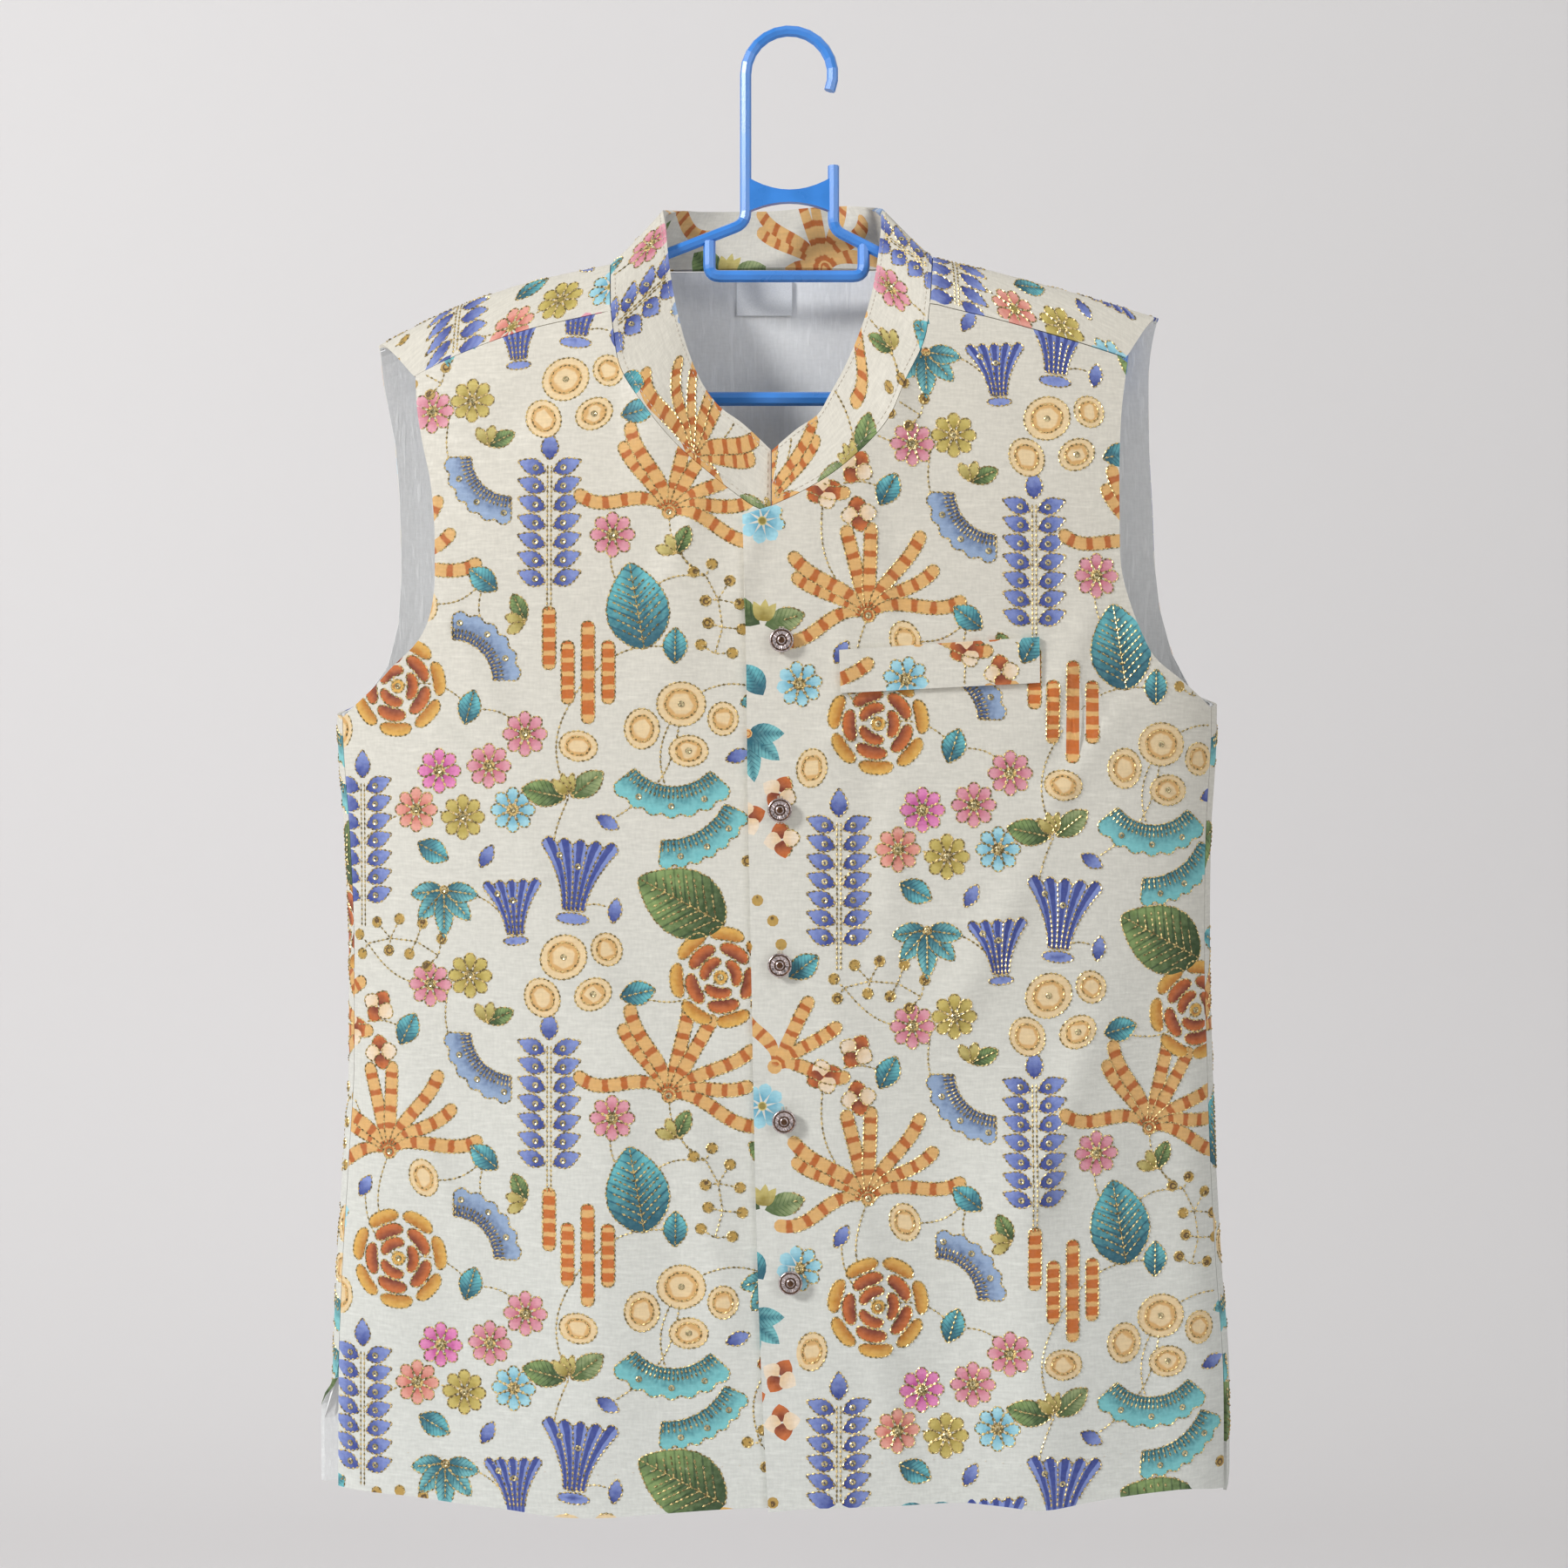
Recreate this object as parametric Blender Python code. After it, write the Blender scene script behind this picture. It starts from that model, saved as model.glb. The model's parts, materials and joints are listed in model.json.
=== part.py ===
"""Boy's sleeveless band-collar jacket hanging on a moulded hanger.

The origin is where the hook's inner top rests on its support. +Z is up, +X is the viewer's right and the
front faces -Y. Sizes below are in millimetres, and MM turns them into metres when a mesh is made.
"""

import math
from collections import namedtuple

import bmesh
import bpy
import numpy as np
from mathutils import Vector

MM = 0.001

# Cloth
CLOTH = 1.5  # printed silk with its interlining
LINING = 1.0
BAND = 2.2  # two layers of silk round a stiffener
SEAM_GAP = 0.3
LAID_GAP = 0.4  # between a panel and what is sewn on top of it
# How far the back stays short of its seams in its flat places, which the shoulder's turn then narrows
SHOULDER_STEP, RIGHT_NECK_STEP, LEFT_NECK_STEP, BACK_NECK_STEP = 0.54, 0.72, 1.2, 0.9
FRONT_POWER = 2.5  # roundness of the front's cross-section
BACK_POWER = 5.0  # the back is flatter, and turns sharply at the sides
SEAM_REACH = 0.978  # the side seam's place, as a share of the half width
TOP_FALL = 130.0  # how far below the shoulder's ridge the cloth reaches its full depth
SEAM_DROP = 25.0  # the forward shoulder seam's drop below the ridge
VENT_TOP = -562.0
VENT_OPEN = -584.0
FLAP_START = 0.93  # where the vent's flap leaves the round of the side, as a share of the half width
FLAP_SWING = {-1: 1.0, 1: 0.15}  # how far the wearer's right and left flaps swing out

Section = namedtuple("Section", "height left right front back")
SECTIONS = (
    Section(-60, -188.0, 170.0, 40.0, 23.0),
    Section(-150, -190.0, 176.5, 40.0, 23.0),
    Section(-290, -191.8, 181.5, 40.0, 22.0),
    Section(-340, -188.6, 179.0, 40.0, 22.0),
    Section(-390, -186.8, 178.5, 40.0, 22.0),
    Section(-430, -186.8, 179.5, 39.5, 22.0),
    Section(-475, -189.2, 181.0, 39.0, 21.5),
    Section(-520, -192.0, 183.5, 38.0, 21.0),
    Section(-560, -193.6, 186.5, 37.0, 20.5),
    Section(-620, -194.0, 187.0, 36.0, 20.0),
)

# The shoulder's ridge line seen from the front. It rises past the neck's sides, where the cloth stands deep.
Ridge = namedtuple("Ridge", "x height")
RIDGE = (
    Ridge(-200.0, -143.0),
    Ridge(-174.4, -131.2),
    Ridge(-145.0, -116.7),
    Ridge(-112.4, -105.0),
    Ridge(-81.4, -98.2),
    Ridge(-75.4, -96.9),
    Ridge(-69.0, -94.8),
    Ridge(-47.0, -42.0),
    Ridge(34.0, -42.0),
    Ridge(54.5, -91.8),
    Ridge(60.7, -93.9),
    Ridge(86.6, -100.0),
    Ridge(122.0, -109.3),
    Ridge(156.9, -119.8),
    Ridge(190.0, -131.0),
)

# Edges of the pieces, as the front view shows them
Point = namedtuple("Point", "x height")
RIGHT_ARMHOLE = (
    Point(-188.0, -289.5),
    Point(-173.3, -277.8),
    Point(-163.9, -268.5),
    Point(-153.7, -259.1),
    Point(-148.5, -249.8),
    Point(-146.2, -238.0),
    Point(-146.0, -220.2),
    Point(-148.3, -192.3),
    Point(-151.7, -177.7),
    Point(-154.7, -162.6),
    Point(-156.1, -148.6),
)
LEFT_ARMHOLE = (
    Point(177.5, -285.5),
    Point(163.0, -274.1),
    Point(151.0, -264.8),
    Point(144.9, -254.0),
    Point(140.5, -243.0),
    Point(136.8, -229.5),
    Point(136.1, -211.5),
    Point(136.4, -183.7),
    Point(137.9, -162.2),
    Point(141.1, -141.6),
)
RIGHT_NECK = (
    Point(-7.4, -206.8),
    Point(-13.2, -205.2),
    Point(-19.2, -201.3),
    Point(-35.6, -188.3),
    Point(-47.4, -177.5),
    Point(-60.6, -160.8),
    Point(-69.3, -146.1),
    Point(-72.6, -129.4),
    Point(-73.8, -121.2),
)
LEFT_NECK = (
    Point(-7.4, -204.5),
    Point(3.1, -199.7),
    Point(16.2, -192.0),
    Point(28.0, -182.3),
    Point(39.8, -169.0),
    Point(47.1, -152.6),
    Point(55.6, -133.7),
    Point(58.0, -118.2),
)
BACK_ARMHOLE_RIGHT = (
    Point(-185.5, -283.5),
    Point(-174.4, -269.2),
    Point(-170.5, -259.2),
    Point(-168.8, -246.7),
    Point(-167.7, -228.0),
    Point(-167.7, -209.2),
    Point(-168.7, -184.7),
    Point(-170.1, -166.3),
    Point(-173.4, -147.9),
    Point(-174.4, -131.3),
)
BACK_ARMHOLE_LEFT = (
    Point(174.5, -279.0),
    Point(168.0, -270.3),
    Point(164.9, -260.2),
    Point(161.1, -247.0),
    Point(158.4, -228.3),
    Point(156.8, -199.6),
    Point(154.9, -165.5),
    Point(154.4, -137.6),
    Point(156.9, -119.9),
)
BACK_NECK = (
    Point(-75.4, -97.0),
    Point(-62.0, -96.2),
    Point(-47.0, -95.4),
    Point(-25.0, -95.2),
    Point(-0.5, -94.8),
    Point(18.0, -95.0),
    Point(35.6, -95.1),
    Point(49.0, -94.8),
    Point(60.7, -94.0),
)
UNDERLAP_EDGE = (Point(10.5, -613.0), Point(10.5, -207.5))
FREE_EDGE = (
    Point(-8.6, -613.8),
    Point(-11.1, -566.2),
    Point(-13.5, -494.9),
    Point(-15.6, -388.2),
    Point(-17.0, -317.5),
    Point(-17.7, -259.2),
    Point(-19.1, -208.5),
)
RIGHT_HEM = (
    Point(-185.2, -612.6),
    Point(-161.5, -612.1),
    Point(-137.0, -613.7),
    Point(-118.4, -614.8),
    Point(-91.1, -617.4),
    Point(-73.7, -617.0),
    Point(-52.1, -615.2),
    Point(-9.4, -612.6),
    Point(10.5, -613.0),
)
LEFT_HEM = (
    Point(-8.6, -613.8),
    Point(5.9, -612.4),
    Point(38.7, -612.2),
    Point(68.9, -611.3),
    Point(87.1, -613.0),
    Point(103.4, -615.0),
    Point(123.6, -612.6),
    Point(142.0, -611.2),
    Point(161.4, -610.7),
    Point(180.5, -613.5),
)
BACK_HEM_SIDE, BACK_HEM_MIDDLE = -615.5, -610.5

# Soft folds: a line down the cloth, how wide it spreads and how far it stands out (or in, below zero)
Fold = namedtuple("Fold", "face x_top top x_foot foot width depth")
FOLDS = (
    Fold("front", 92.0, -430.0, 108.0, -640.0, 17.0, 3.6),
    Fold("front", 60.0, -400.0, 66.0, -640.0, 20.0, -2.4),
    Fold("front", -70.0, -390.0, -84.0, -640.0, 22.0, 3.2),
    Fold("front", -136.0, -380.0, -142.0, -640.0, 20.0, -2.6),
    Fold("front", 150.0, -350.0, 148.0, -640.0, 14.0, -2.0),
    Fold("front", -160.0, -262.0, -112.0, -330.0, 9.0, -1.8),
    Fold("front", 150.0, -258.0, 104.0, -322.0, 9.0, -1.8),
    Fold("front", -84.0, -128.0, -128.0, -186.0, 10.0, -1.4),
    Fold("front", 70.0, -128.0, 112.0, -182.0, 10.0, -1.4),
    Fold("front", -34.0, -206.0, -58.0, -300.0, 12.0, 1.4),
    Fold("front", 16.5, -200.0, 14.5, -292.0, 4.0, -0.7),
    Fold("back", -96.0, -300.0, -104.0, -640.0, 26.0, 3.4),
    Fold("back", -30.0, -340.0, -24.0, -640.0, 22.0, -2.6),
    Fold("back", 52.0, -280.0, 66.0, -640.0, 28.0, 3.0),
    Fold("back", 120.0, -360.0, 130.0, -640.0, 20.0, -2.2),
    Fold("back", -128.0, -160.0, -70.0, -215.0, 14.0, -1.6),
    Fold("back", 112.0, -150.0, 58.0, -205.0, 14.0, -1.6),
)
FOLD_EASE = 0.3  # share of a fold's length over which it fades in

# Front closing
OVERLAP_LIFT = 2.1  # the left front lies on the right one: its cloth and a small gap
OVERLAP_FULL, OVERLAP_END = 16.0, 38.0  # where the lift is whole, and where it has faded out
BUTTON_PLACES = (
    Point(-3.2, -259.4),
    Point(-3.9, -328.0),
    Point(-3.9, -390.6),
    Point(-2.2, -453.8),
    Point(0.4, -519.2),
)
BUTTON_RADIUS = 4.9
BUTTON_REACH = 2.0  # the cloth's slope under a button is taken over this distance each way
POCKET_CORNERS = (Point(20.6, -280.7), Point(102.0, -276.2), Point(101.6, -257.5), Point(20.1, -263.2))
LABEL_WIDTH, LABEL_HEIGHT, LABEL_LEFT, LABEL_TOP, LABEL_WALL = 24.0, 15.0, -22.7, -99.5, 1.0

# Collar's top edge, from the centre front round the wearer's right side to the back, then round to the front
Rim = namedtuple("Rim", "x depth height")
RIM_RIGHT = (
    Rim(-7.6, -32.0, -180.5),
    Rim(-19.4, -30.5, -169.3),
    Rim(-28.9, -28.5, -162.0),
    Rim(-36.0, -26.5, -152.1),
    Rim(-41.9, -23.0, -138.0),
    Rim(-47.2, -18.0, -118.1),
    Rim(-50.5, -11.0, -98.4),
    Rim(-52.4, -3.0, -81.9),
    Rim(-54.0, 5.0, -72.4),
)
RIM_BACK = (
    Rim(-54.0, 5.0, -72.4),
    Rim(-49.5, 16.5, -69.5),
    Rim(-37.8, 23.0, -68.9),
    Rim(-20.5, 27.0, -68.3),
    Rim(-7.3, 28.0, -67.9),
    Rim(8.9, 27.5, -66.5),
    Rim(25.1, 23.5, -66.2),
    Rim(36.0, 15.5, -68.4),
    Rim(39.8, 5.0, -71.8),
)
RIM_LEFT = (
    Rim(39.8, 5.0, -71.8),
    Rim(38.2, -4.0, -88.6),
    Rim(34.8, -13.0, -110.5),
    Rim(29.6, -20.5, -128.7),
    Rim(23.5, -25.5, -143.8),
    Rim(16.4, -28.8, -157.5),
    Rim(11.6, -30.8, -165.8),
    Rim(3.2, -33.2, -172.0),
    Rim(-7.2, -34.2, -181.1),
)
COLLAR_GAP = 0.5  # between the collar's two ends

# Hanger
ROD_RADIUS = 2.4
HOOK_RADIUS = 18.5  # to the rod's centre line
HOOK_END_DEG, HOOK_STEPS = -22.0, 14
SHAFT_X, POST_X, POST_TOP = -18.5, 18.8, -55.0
ARM_SEAT = BAND + ROD_RADIUS + 0.7  # the rod's centre line below the ridge, clear of the collar's foot
BAR_RADIUS_SHARE = 1.25
Bend = namedtuple("Bend", "x height radius share")
TIE_BAR = (
    Bend(-33.9, -87.0, 0.0, 1.0),
    Bend(-33.9, -101.8, 4.5, 1.0),
    Bend(31.6, -101.8, 4.5, 1.0),
    Bend(31.6, -88.5, 0.0, 1.0),
)
TIE_RADIUS, TIE_FLATTEN = 2.6, 1.3
BEND_STEPS = 5
WEB_HALF_THICKNESS = 1.7
WEB_TOP_SIDE, WEB_TOP_MIDDLE, WEB_FOOT_SIDE, WEB_FOOT_MIDDLE = -59.6, -65.4, -75.2, -70.6
WEB_STEPS = 10

FORWARD, BACKWARD = (0, -1, 0), (0, 1, 0)

# Grid counts: cells along each stretch of a panel's edges
SIDE_CELLS, VENT_CELLS, ARMHOLE_CELLS, NECK_CELLS = 11, 4, 13, 11
FRONT_COLUMNS, SHOULDER_COLUMNS, BACK_NECK_COLUMNS = 15, 8, 12
TOP_CELLS = 2  # between a front's own top corner and its neck edge
COLUMN_CROWDING = 0.13
BACK_ARMHOLE_CELLS, TURN_CELLS = 7, 6
NEAR_SEAM = (0.0, 5.0, 10.0, 16.0, 24.0)  # armhole rows this far from the side seam, round the turn
NEAR_RIDGE = (26.0, 17.0, 10.5, 6.0, 2.8, 0.0)  # rows this far below the ridge, where the cloth turns sharply
LINING_CLEAR_ROWS = 3  # rows below the ridge that the lining leaves to the hanger's arm


def smooth_value(xs, ys, x):
    """A smooth curve through (xs, ys), read at x: cubic pieces with averaged slopes."""
    xs, ys, x = np.asarray(xs, float), np.asarray(ys, float), np.asarray(x, float)
    steps = np.diff(ys) / np.diff(xs)
    slopes = np.concatenate([steps[:1], (steps[:-1] + steps[1:]) / 2, steps[-1:]])
    flat = np.concatenate([[False], steps[:-1] * steps[1:] <= 0, [False]])
    slopes[flat] = 0
    x = np.clip(x, xs[0], xs[-1])
    i = np.clip(np.searchsorted(xs, x) - 1, 0, len(xs) - 2)
    width = xs[i + 1] - xs[i]
    t = (x - xs[i]) / width
    return (
        ys[i] * (1 + 2 * t) * (1 - t) ** 2
        + slopes[i] * width * t * (1 - t) ** 2
        + ys[i + 1] * t * t * (3 - 2 * t)
        + slopes[i + 1] * width * t * t * (t - 1)
    )


def ease(value):
    value = np.clip(value, 0.0, 1.0)
    return value * value * (3 - 2 * value)


def column(rows, name):
    return [getattr(row, name) for row in rows]


def along(points, stations):
    """A smooth curve through the points, read at shares of its length from 0 to 1."""
    points = np.asarray(points, float)
    reach = np.concatenate([[0], np.cumsum(np.linalg.norm(np.diff(points, axis=0), axis=1))])
    fine = np.linspace(0, reach[-1], 16 * len(points))
    curve = np.stack([smooth_value(reach, points[:, k], fine) for k in range(points.shape[1])], axis=1)
    reach = np.concatenate([[0], np.cumsum(np.linalg.norm(np.diff(curve, axis=0), axis=1))])
    places = np.asarray(stations) * reach[-1]
    return np.stack([np.interp(places, reach, curve[:, k]) for k in range(points.shape[1])], axis=1)


def through(points, cells):
    """The same curve, as cells + 1 points evenly spaced along it."""
    return along(points, np.linspace(0, 1, cells + 1))


def line_length(points):
    return float(np.linalg.norm(np.diff(np.asarray(points, float), axis=0), axis=1).sum())


# The body's form: cross-sections down the garment, and one rounded fall from the shoulder's ridge


def section(height, name):
    rows = SECTIONS[::-1]
    return smooth_value(column(rows, "height"), column(rows, name), height)


def ridge(x):
    return smooth_value(column(RIDGE, "x"), column(RIDGE, "height"), x)


def middle_and_half(height):
    left, right = section(height, "left"), section(height, "right")
    return (left + right) / 2, (right - left) / 2


def front_depth(x, height):
    middle, half = middle_and_half(height)
    share = np.clip(np.abs(x - middle) / half, 0, 1)
    return section(height, "front") * (1 - share**FRONT_POWER) ** 0.5


def fold_depth(face, x, height):
    total = np.zeros_like(np.asarray(x, float))
    for fold in FOLDS:
        if fold.face != face:
            continue
        run = np.array([fold.x_foot - fold.x_top, fold.foot - fold.top])
        length = np.hypot(*run)
        down = ((x - fold.x_top) * run[0] + (height - fold.top) * run[1]) / length**2
        across = ((x - fold.x_top) * run[1] - (height - fold.top) * run[0]) / length
        fade = ease(down / FOLD_EASE) * ease((1 - down) / FOLD_EASE)
        total += fold.depth * fade * np.exp(-((across / fold.width) ** 2))
    return total


def front_surface(x, height, lift=0.0):
    """The outer face of a front, over (x, height) of the front view."""
    fall = np.clip((ridge(x) - height) / TOP_FALL, 0, 1)
    rounded = (1 - (1 - fall) ** 2) ** 0.5
    middle, half = middle_and_half(height)
    calm = ease((1 - np.abs(x - middle) / half) / 0.12) * ease((fall - 0.2) / 0.3)
    depth = front_depth(x, height) * rounded + fold_depth("front", x, height) * calm
    depth = depth + lift * ease((OVERLAP_END - x) / (OVERLAP_END - OVERLAP_FULL))
    return np.stack([x, -depth, height], axis=-1)


def under_front(flat):
    return front_surface(flat[..., 0], flat[..., 1])


def over_front(flat):
    return front_surface(flat[..., 0], flat[..., 1], OVERLAP_LIFT)


def fall_table():
    """Arc length along the rounded fall, from its foot on the back over the ridge to the front."""
    angles = np.radians(np.linspace(90, -60, 301))
    radius = np.where(angles > 0, section(-150.0, "back"), 0.8 * section(-150.0, "front"))
    speed = np.hypot(TOP_FALL * np.sin(angles), radius * np.cos(angles))
    lengths = np.concatenate([[0], np.cumsum((speed[1:] + speed[:-1]) / 2 * -np.diff(angles))])
    return lengths, angles


def across_table(height):
    """Arc length across the back from its middle to the side's extreme and on round to the side seam."""
    half = float(middle_and_half(height)[1])
    back, front = float(section(height, "back")), float(section(height, "front"))
    outward = np.concatenate([np.linspace(0, 0.9, 40), 1 - 0.1 * np.linspace(1, 0, 60)[1:] ** 2])
    inward = 1 - (1 - SEAM_REACH) * np.linspace(0, 1, 30)[1:] ** 2
    x = half * np.concatenate([outward, inward])
    depth = np.concatenate(
        [back * (1 - outward**BACK_POWER) ** 0.5, -front * (1 - inward**FRONT_POWER) ** 0.5]
    )
    lengths = np.concatenate([[0], np.cumsum(np.hypot(np.diff(x), np.diff(depth)))])
    return lengths, x, depth


FALL_LENGTHS, FALL_ANGLES = fall_table()


def over_ridge(x, height, in_front=False):
    """The flat height of a place on the back panel, which counts on over the ridge to the front."""
    x, height = np.asarray(x, float), np.asarray(height, float)
    fall = np.clip((ridge(x) - height) / TOP_FALL, 0, 1)
    angle = np.arccos(1 - fall) * (-1 if in_front else 1)
    arc = np.interp(-angle, -FALL_ANGLES, FALL_LENGTHS)
    return np.where(fall < 1, ridge(x) - TOP_FALL + arc, height)


def back_point(across, flat_height):
    """The outer face of the back panel, from its flat place: arc length from the middle, and flat height."""
    height = min(flat_height, -120.0)
    lengths, xs, depths = across_table(height)
    middle = float(middle_and_half(height)[0])
    side = math.copysign(1.0, across)
    reach = abs(across)
    x, depth = np.interp(reach, lengths, xs), np.interp(reach, lengths, depths)
    opened = float(ease((VENT_TOP - height) / (VENT_TOP - VENT_OPEN))) * FLAP_SWING[int(side)]
    leave = np.interp(FLAP_START * xs.max(), xs[:99], lengths[:99])
    if opened and reach > leave:
        out = reach - leave
        flap_x = FLAP_START * xs.max() + 0.72 * out
        flap_depth = np.interp(leave, lengths, depths) - 0.08 * out
        x, depth = x + (flap_x - x) * opened, depth + (flap_depth - depth) * opened
    x = middle + side * x
    foot = float(ridge(x)) - TOP_FALL
    shape = 1.0
    z = flat_height
    if flat_height > foot:
        angle = np.interp(flat_height - foot, FALL_LENGTHS, FALL_ANGLES)
        z = foot + TOP_FALL * math.cos(angle)
        shape = math.sin(angle)
    if shape < 0:
        depth = float(front_depth(x, z))
    calm = float(ease((1 - abs(x - middle) / xs.max()) / 0.12)) * float(ease((shape - 0.5) / 0.4))
    return (x, depth * shape + float(fold_depth("back", x, z)) * calm, z)


def across_of(x, height):
    """Arc length across the back of a place given by its front-view x."""
    height = min(height, -120.0)
    lengths, xs, _ = across_table(height)
    offset = x - float(middle_and_half(height)[0])
    outward = int(np.argmax(xs)) + 1
    return math.copysign(float(np.interp(abs(offset), xs[:outward], lengths[:outward])), offset)


def seam_across(height, side, gap=0.0):
    return side * (float(across_table(height)[0][-1]) - gap)


# Panels: a grid of cells between four edges, shaped by a surface


def coons(left, right, foot, top, spacing, lean=1.0):
    """Points between four edges. left and right run upwards, foot and top from left to right.

    A lean above 1 keeps the top edge's shape near the top.
    """
    rows, columns = len(left), len(foot)
    v = np.linspace(0, 1, rows)[:, None, None] ** lean
    u = spacing[None, :, None]
    sides = left[:, None] * (1 - u) + right[:, None] * u
    ends = foot[None] * (1 - v) + top[None] * v
    corners = (left[0] * (1 - u) + right[0] * u) * (1 - v) + (left[-1] * (1 - u) + right[-1] * u) * v
    assert columns == len(top)
    return sides + ends - corners


def material(name, color, roughness, metallic=0.0):
    made = bpy.data.materials.new(name)
    made.use_nodes = True
    shader = made.node_tree.nodes["Principled BSDF"]
    shader.inputs["Base Color"].default_value = (*color, 1.0)
    shader.inputs["Roughness"].default_value = roughness
    shader.inputs["Metallic"].default_value = metallic
    return made


def add_object(name, mesh, finish):
    part = bpy.data.objects.new(name, mesh)
    bpy.context.scene.collection.objects.link(part)
    mesh.materials.append(finish)
    return part


def wall(name, outside, inside, finish, keep=None):
    """A grid of cells made a closed wall between its outer and inner points. keep marks the cloth."""
    rows, columns = outside.shape[:2]
    grid = bmesh.new()
    bmesh.ops.create_grid(grid, x_segments=columns - 1, y_segments=rows - 1, size=1.0)
    outer_place = grid.verts.layers.float_vector.new("outer_place")
    for vert, inner, outer in zip(grid.verts, inside.reshape(-1, 3), outside.reshape(-1, 3)):
        vert.co = Vector(inner) * MM
        vert[outer_place] = Vector(outer) * MM
    if keep is not None:
        bare = [face for face, kept in zip(grid.faces, keep.ravel()) if not kept]
        bmesh.ops.delete(grid, geom=bare, context="FACES")
    bmesh.ops.triangulate(grid, faces=list(grid.faces), quad_method="FIXED")
    raised = bmesh.ops.extrude_face_region(grid, geom=list(grid.faces), use_keep_orig=True)["geom"]
    for vert in raised:
        if isinstance(vert, bmesh.types.BMVert):
            vert.co = vert[outer_place]
    bmesh.ops.recalc_face_normals(grid, faces=grid.faces)
    mesh = bpy.data.meshes.new(name)
    grid.to_mesh(mesh)
    grid.free()
    mesh.shade_smooth()
    mesh.set_sharp_from_angle(angle=math.radians(50))
    return add_object(name, mesh, finish)


def normals_of(surface, flat, towards, step=0.4):
    """A surface's unit normals at flat places, on the side that looks along towards at the first one."""
    u = surface(flat + (step, 0)) - surface(flat - (step, 0))
    v = surface(flat + (0, step)) - surface(flat - (0, step))
    normals = np.cross(u, v)
    normals /= np.linalg.norm(normals, axis=-1, keepdims=True)
    first = normals.reshape(-1, 3)[0]
    return normals * (1.0 if first @ np.asarray(towards, float) > 0 else -1.0)


def layer_wall(name, surface, flat, towards, depth, thickness, finish, keep=None):
    """A layer of cloth along a surface, its outer face depth below it, or above it if negative."""
    points, normals = surface(flat), normals_of(surface, flat, towards)
    return wall(name, points - normals * depth, points - normals * (depth + thickness), finish, keep)


def pushed_in(edge, by):
    """An edge of (x, height) points moved to its left by a distance."""
    direction = np.gradient(edge, axis=0)
    direction /= np.linalg.norm(direction, axis=1)[:, None]
    return edge + by * np.stack([-direction[:, 1], direction[:, 0]], axis=1)


def shoulder_seam(x_from, x_to, cells):
    x = np.linspace(x_from, x_to, cells + 1)
    return np.stack([x, ridge(x) - SEAM_DROP], axis=1)


def seam_side(side, heights):
    middle, half = middle_and_half(heights)
    return np.stack([middle + side * SEAM_REACH * half, heights], axis=1)


def front_columns(side):
    """Column places that crowd towards the side seam, where the cloth turns."""
    steps = np.linspace(0, 1, FRONT_COLUMNS + 1)
    return steps + side * COLUMN_CROWDING * np.sin(math.pi * steps)


def front_side(side, armhole):
    """A front's outer edge from the hem up: side seam, then armhole."""
    foot = RIGHT_HEM[0].height if side < 0 else LEFT_HEM[-1].height
    low = seam_side(side, np.linspace(foot, VENT_TOP, VENT_CELLS + 1))
    high = seam_side(side, np.linspace(VENT_TOP, armhole[0].height, SIDE_CELLS + 1))
    arm = through([high[-1]] + [tuple(row) for row in armhole[1:]], ARMHOLE_CELLS)
    return np.concatenate([low, high[1:], arm[1:]])


def front_neck(neck):
    return through([tuple(row) for row in neck], NECK_CELLS)


def build_front_right(finish):
    outer = front_side(-1, RIGHT_ARMHOLE)
    inner_cells = len(outer) - 1 - NECK_CELLS - TOP_CELLS
    neck = front_neck(RIGHT_NECK)
    drop = pushed_in(neck, SEAM_GAP)
    corner = UNDERLAP_EDGE[1]
    top_edge = through([tuple(corner), tuple(drop[0])], TOP_CELLS)
    inner = np.concatenate([through(UNDERLAP_EDGE, inner_cells), top_edge[1:], drop[1:]])
    hem = through([tuple(outer[0])] + [tuple(row) for row in RIGHT_HEM[1:]], FRONT_COLUMNS)
    top = shoulder_seam(outer[-1][0], inner[-1][0], FRONT_COLUMNS)
    outer[-1], inner[-1] = top[0], top[-1]
    flat = coons(outer, inner, hem, top, front_columns(-1))
    return layer_wall("front_right", under_front, flat, FORWARD, 0.0, CLOTH, finish)


def left_front_flat():
    outer = front_side(1, LEFT_ARMHOLE)
    inner_cells = len(outer) - 1 - NECK_CELLS - TOP_CELLS
    neck = front_neck(LEFT_NECK)
    drop = pushed_in(neck, -SEAM_GAP)
    free = through([tuple(row) for row in FREE_EDGE], inner_cells)
    top_edge = through([tuple(free[-1]), tuple(drop[0])], TOP_CELLS)
    inner = np.concatenate([free, top_edge[1:], drop[1:]])
    hem = through([tuple(row) for row in LEFT_HEM[:-1]] + [tuple(outer[0])], FRONT_COLUMNS)
    top = shoulder_seam(inner[-1][0], outer[-1][0], FRONT_COLUMNS)
    inner[-1], outer[-1] = top[0], top[-1]
    return coons(inner, outer, hem, top, front_columns(1))


def build_front_left(finish):
    return layer_wall("front_left", over_front, left_front_flat(), FORWARD, 0.0, CLOTH, finish)


def back_flat(edge, in_front=False):
    """Front-view (x, height) places of the back panel, as flat (across, height) places."""
    return np.array([(across_of(x, z), float(over_ridge(x, z, in_front))) for x, z in edge])


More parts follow.
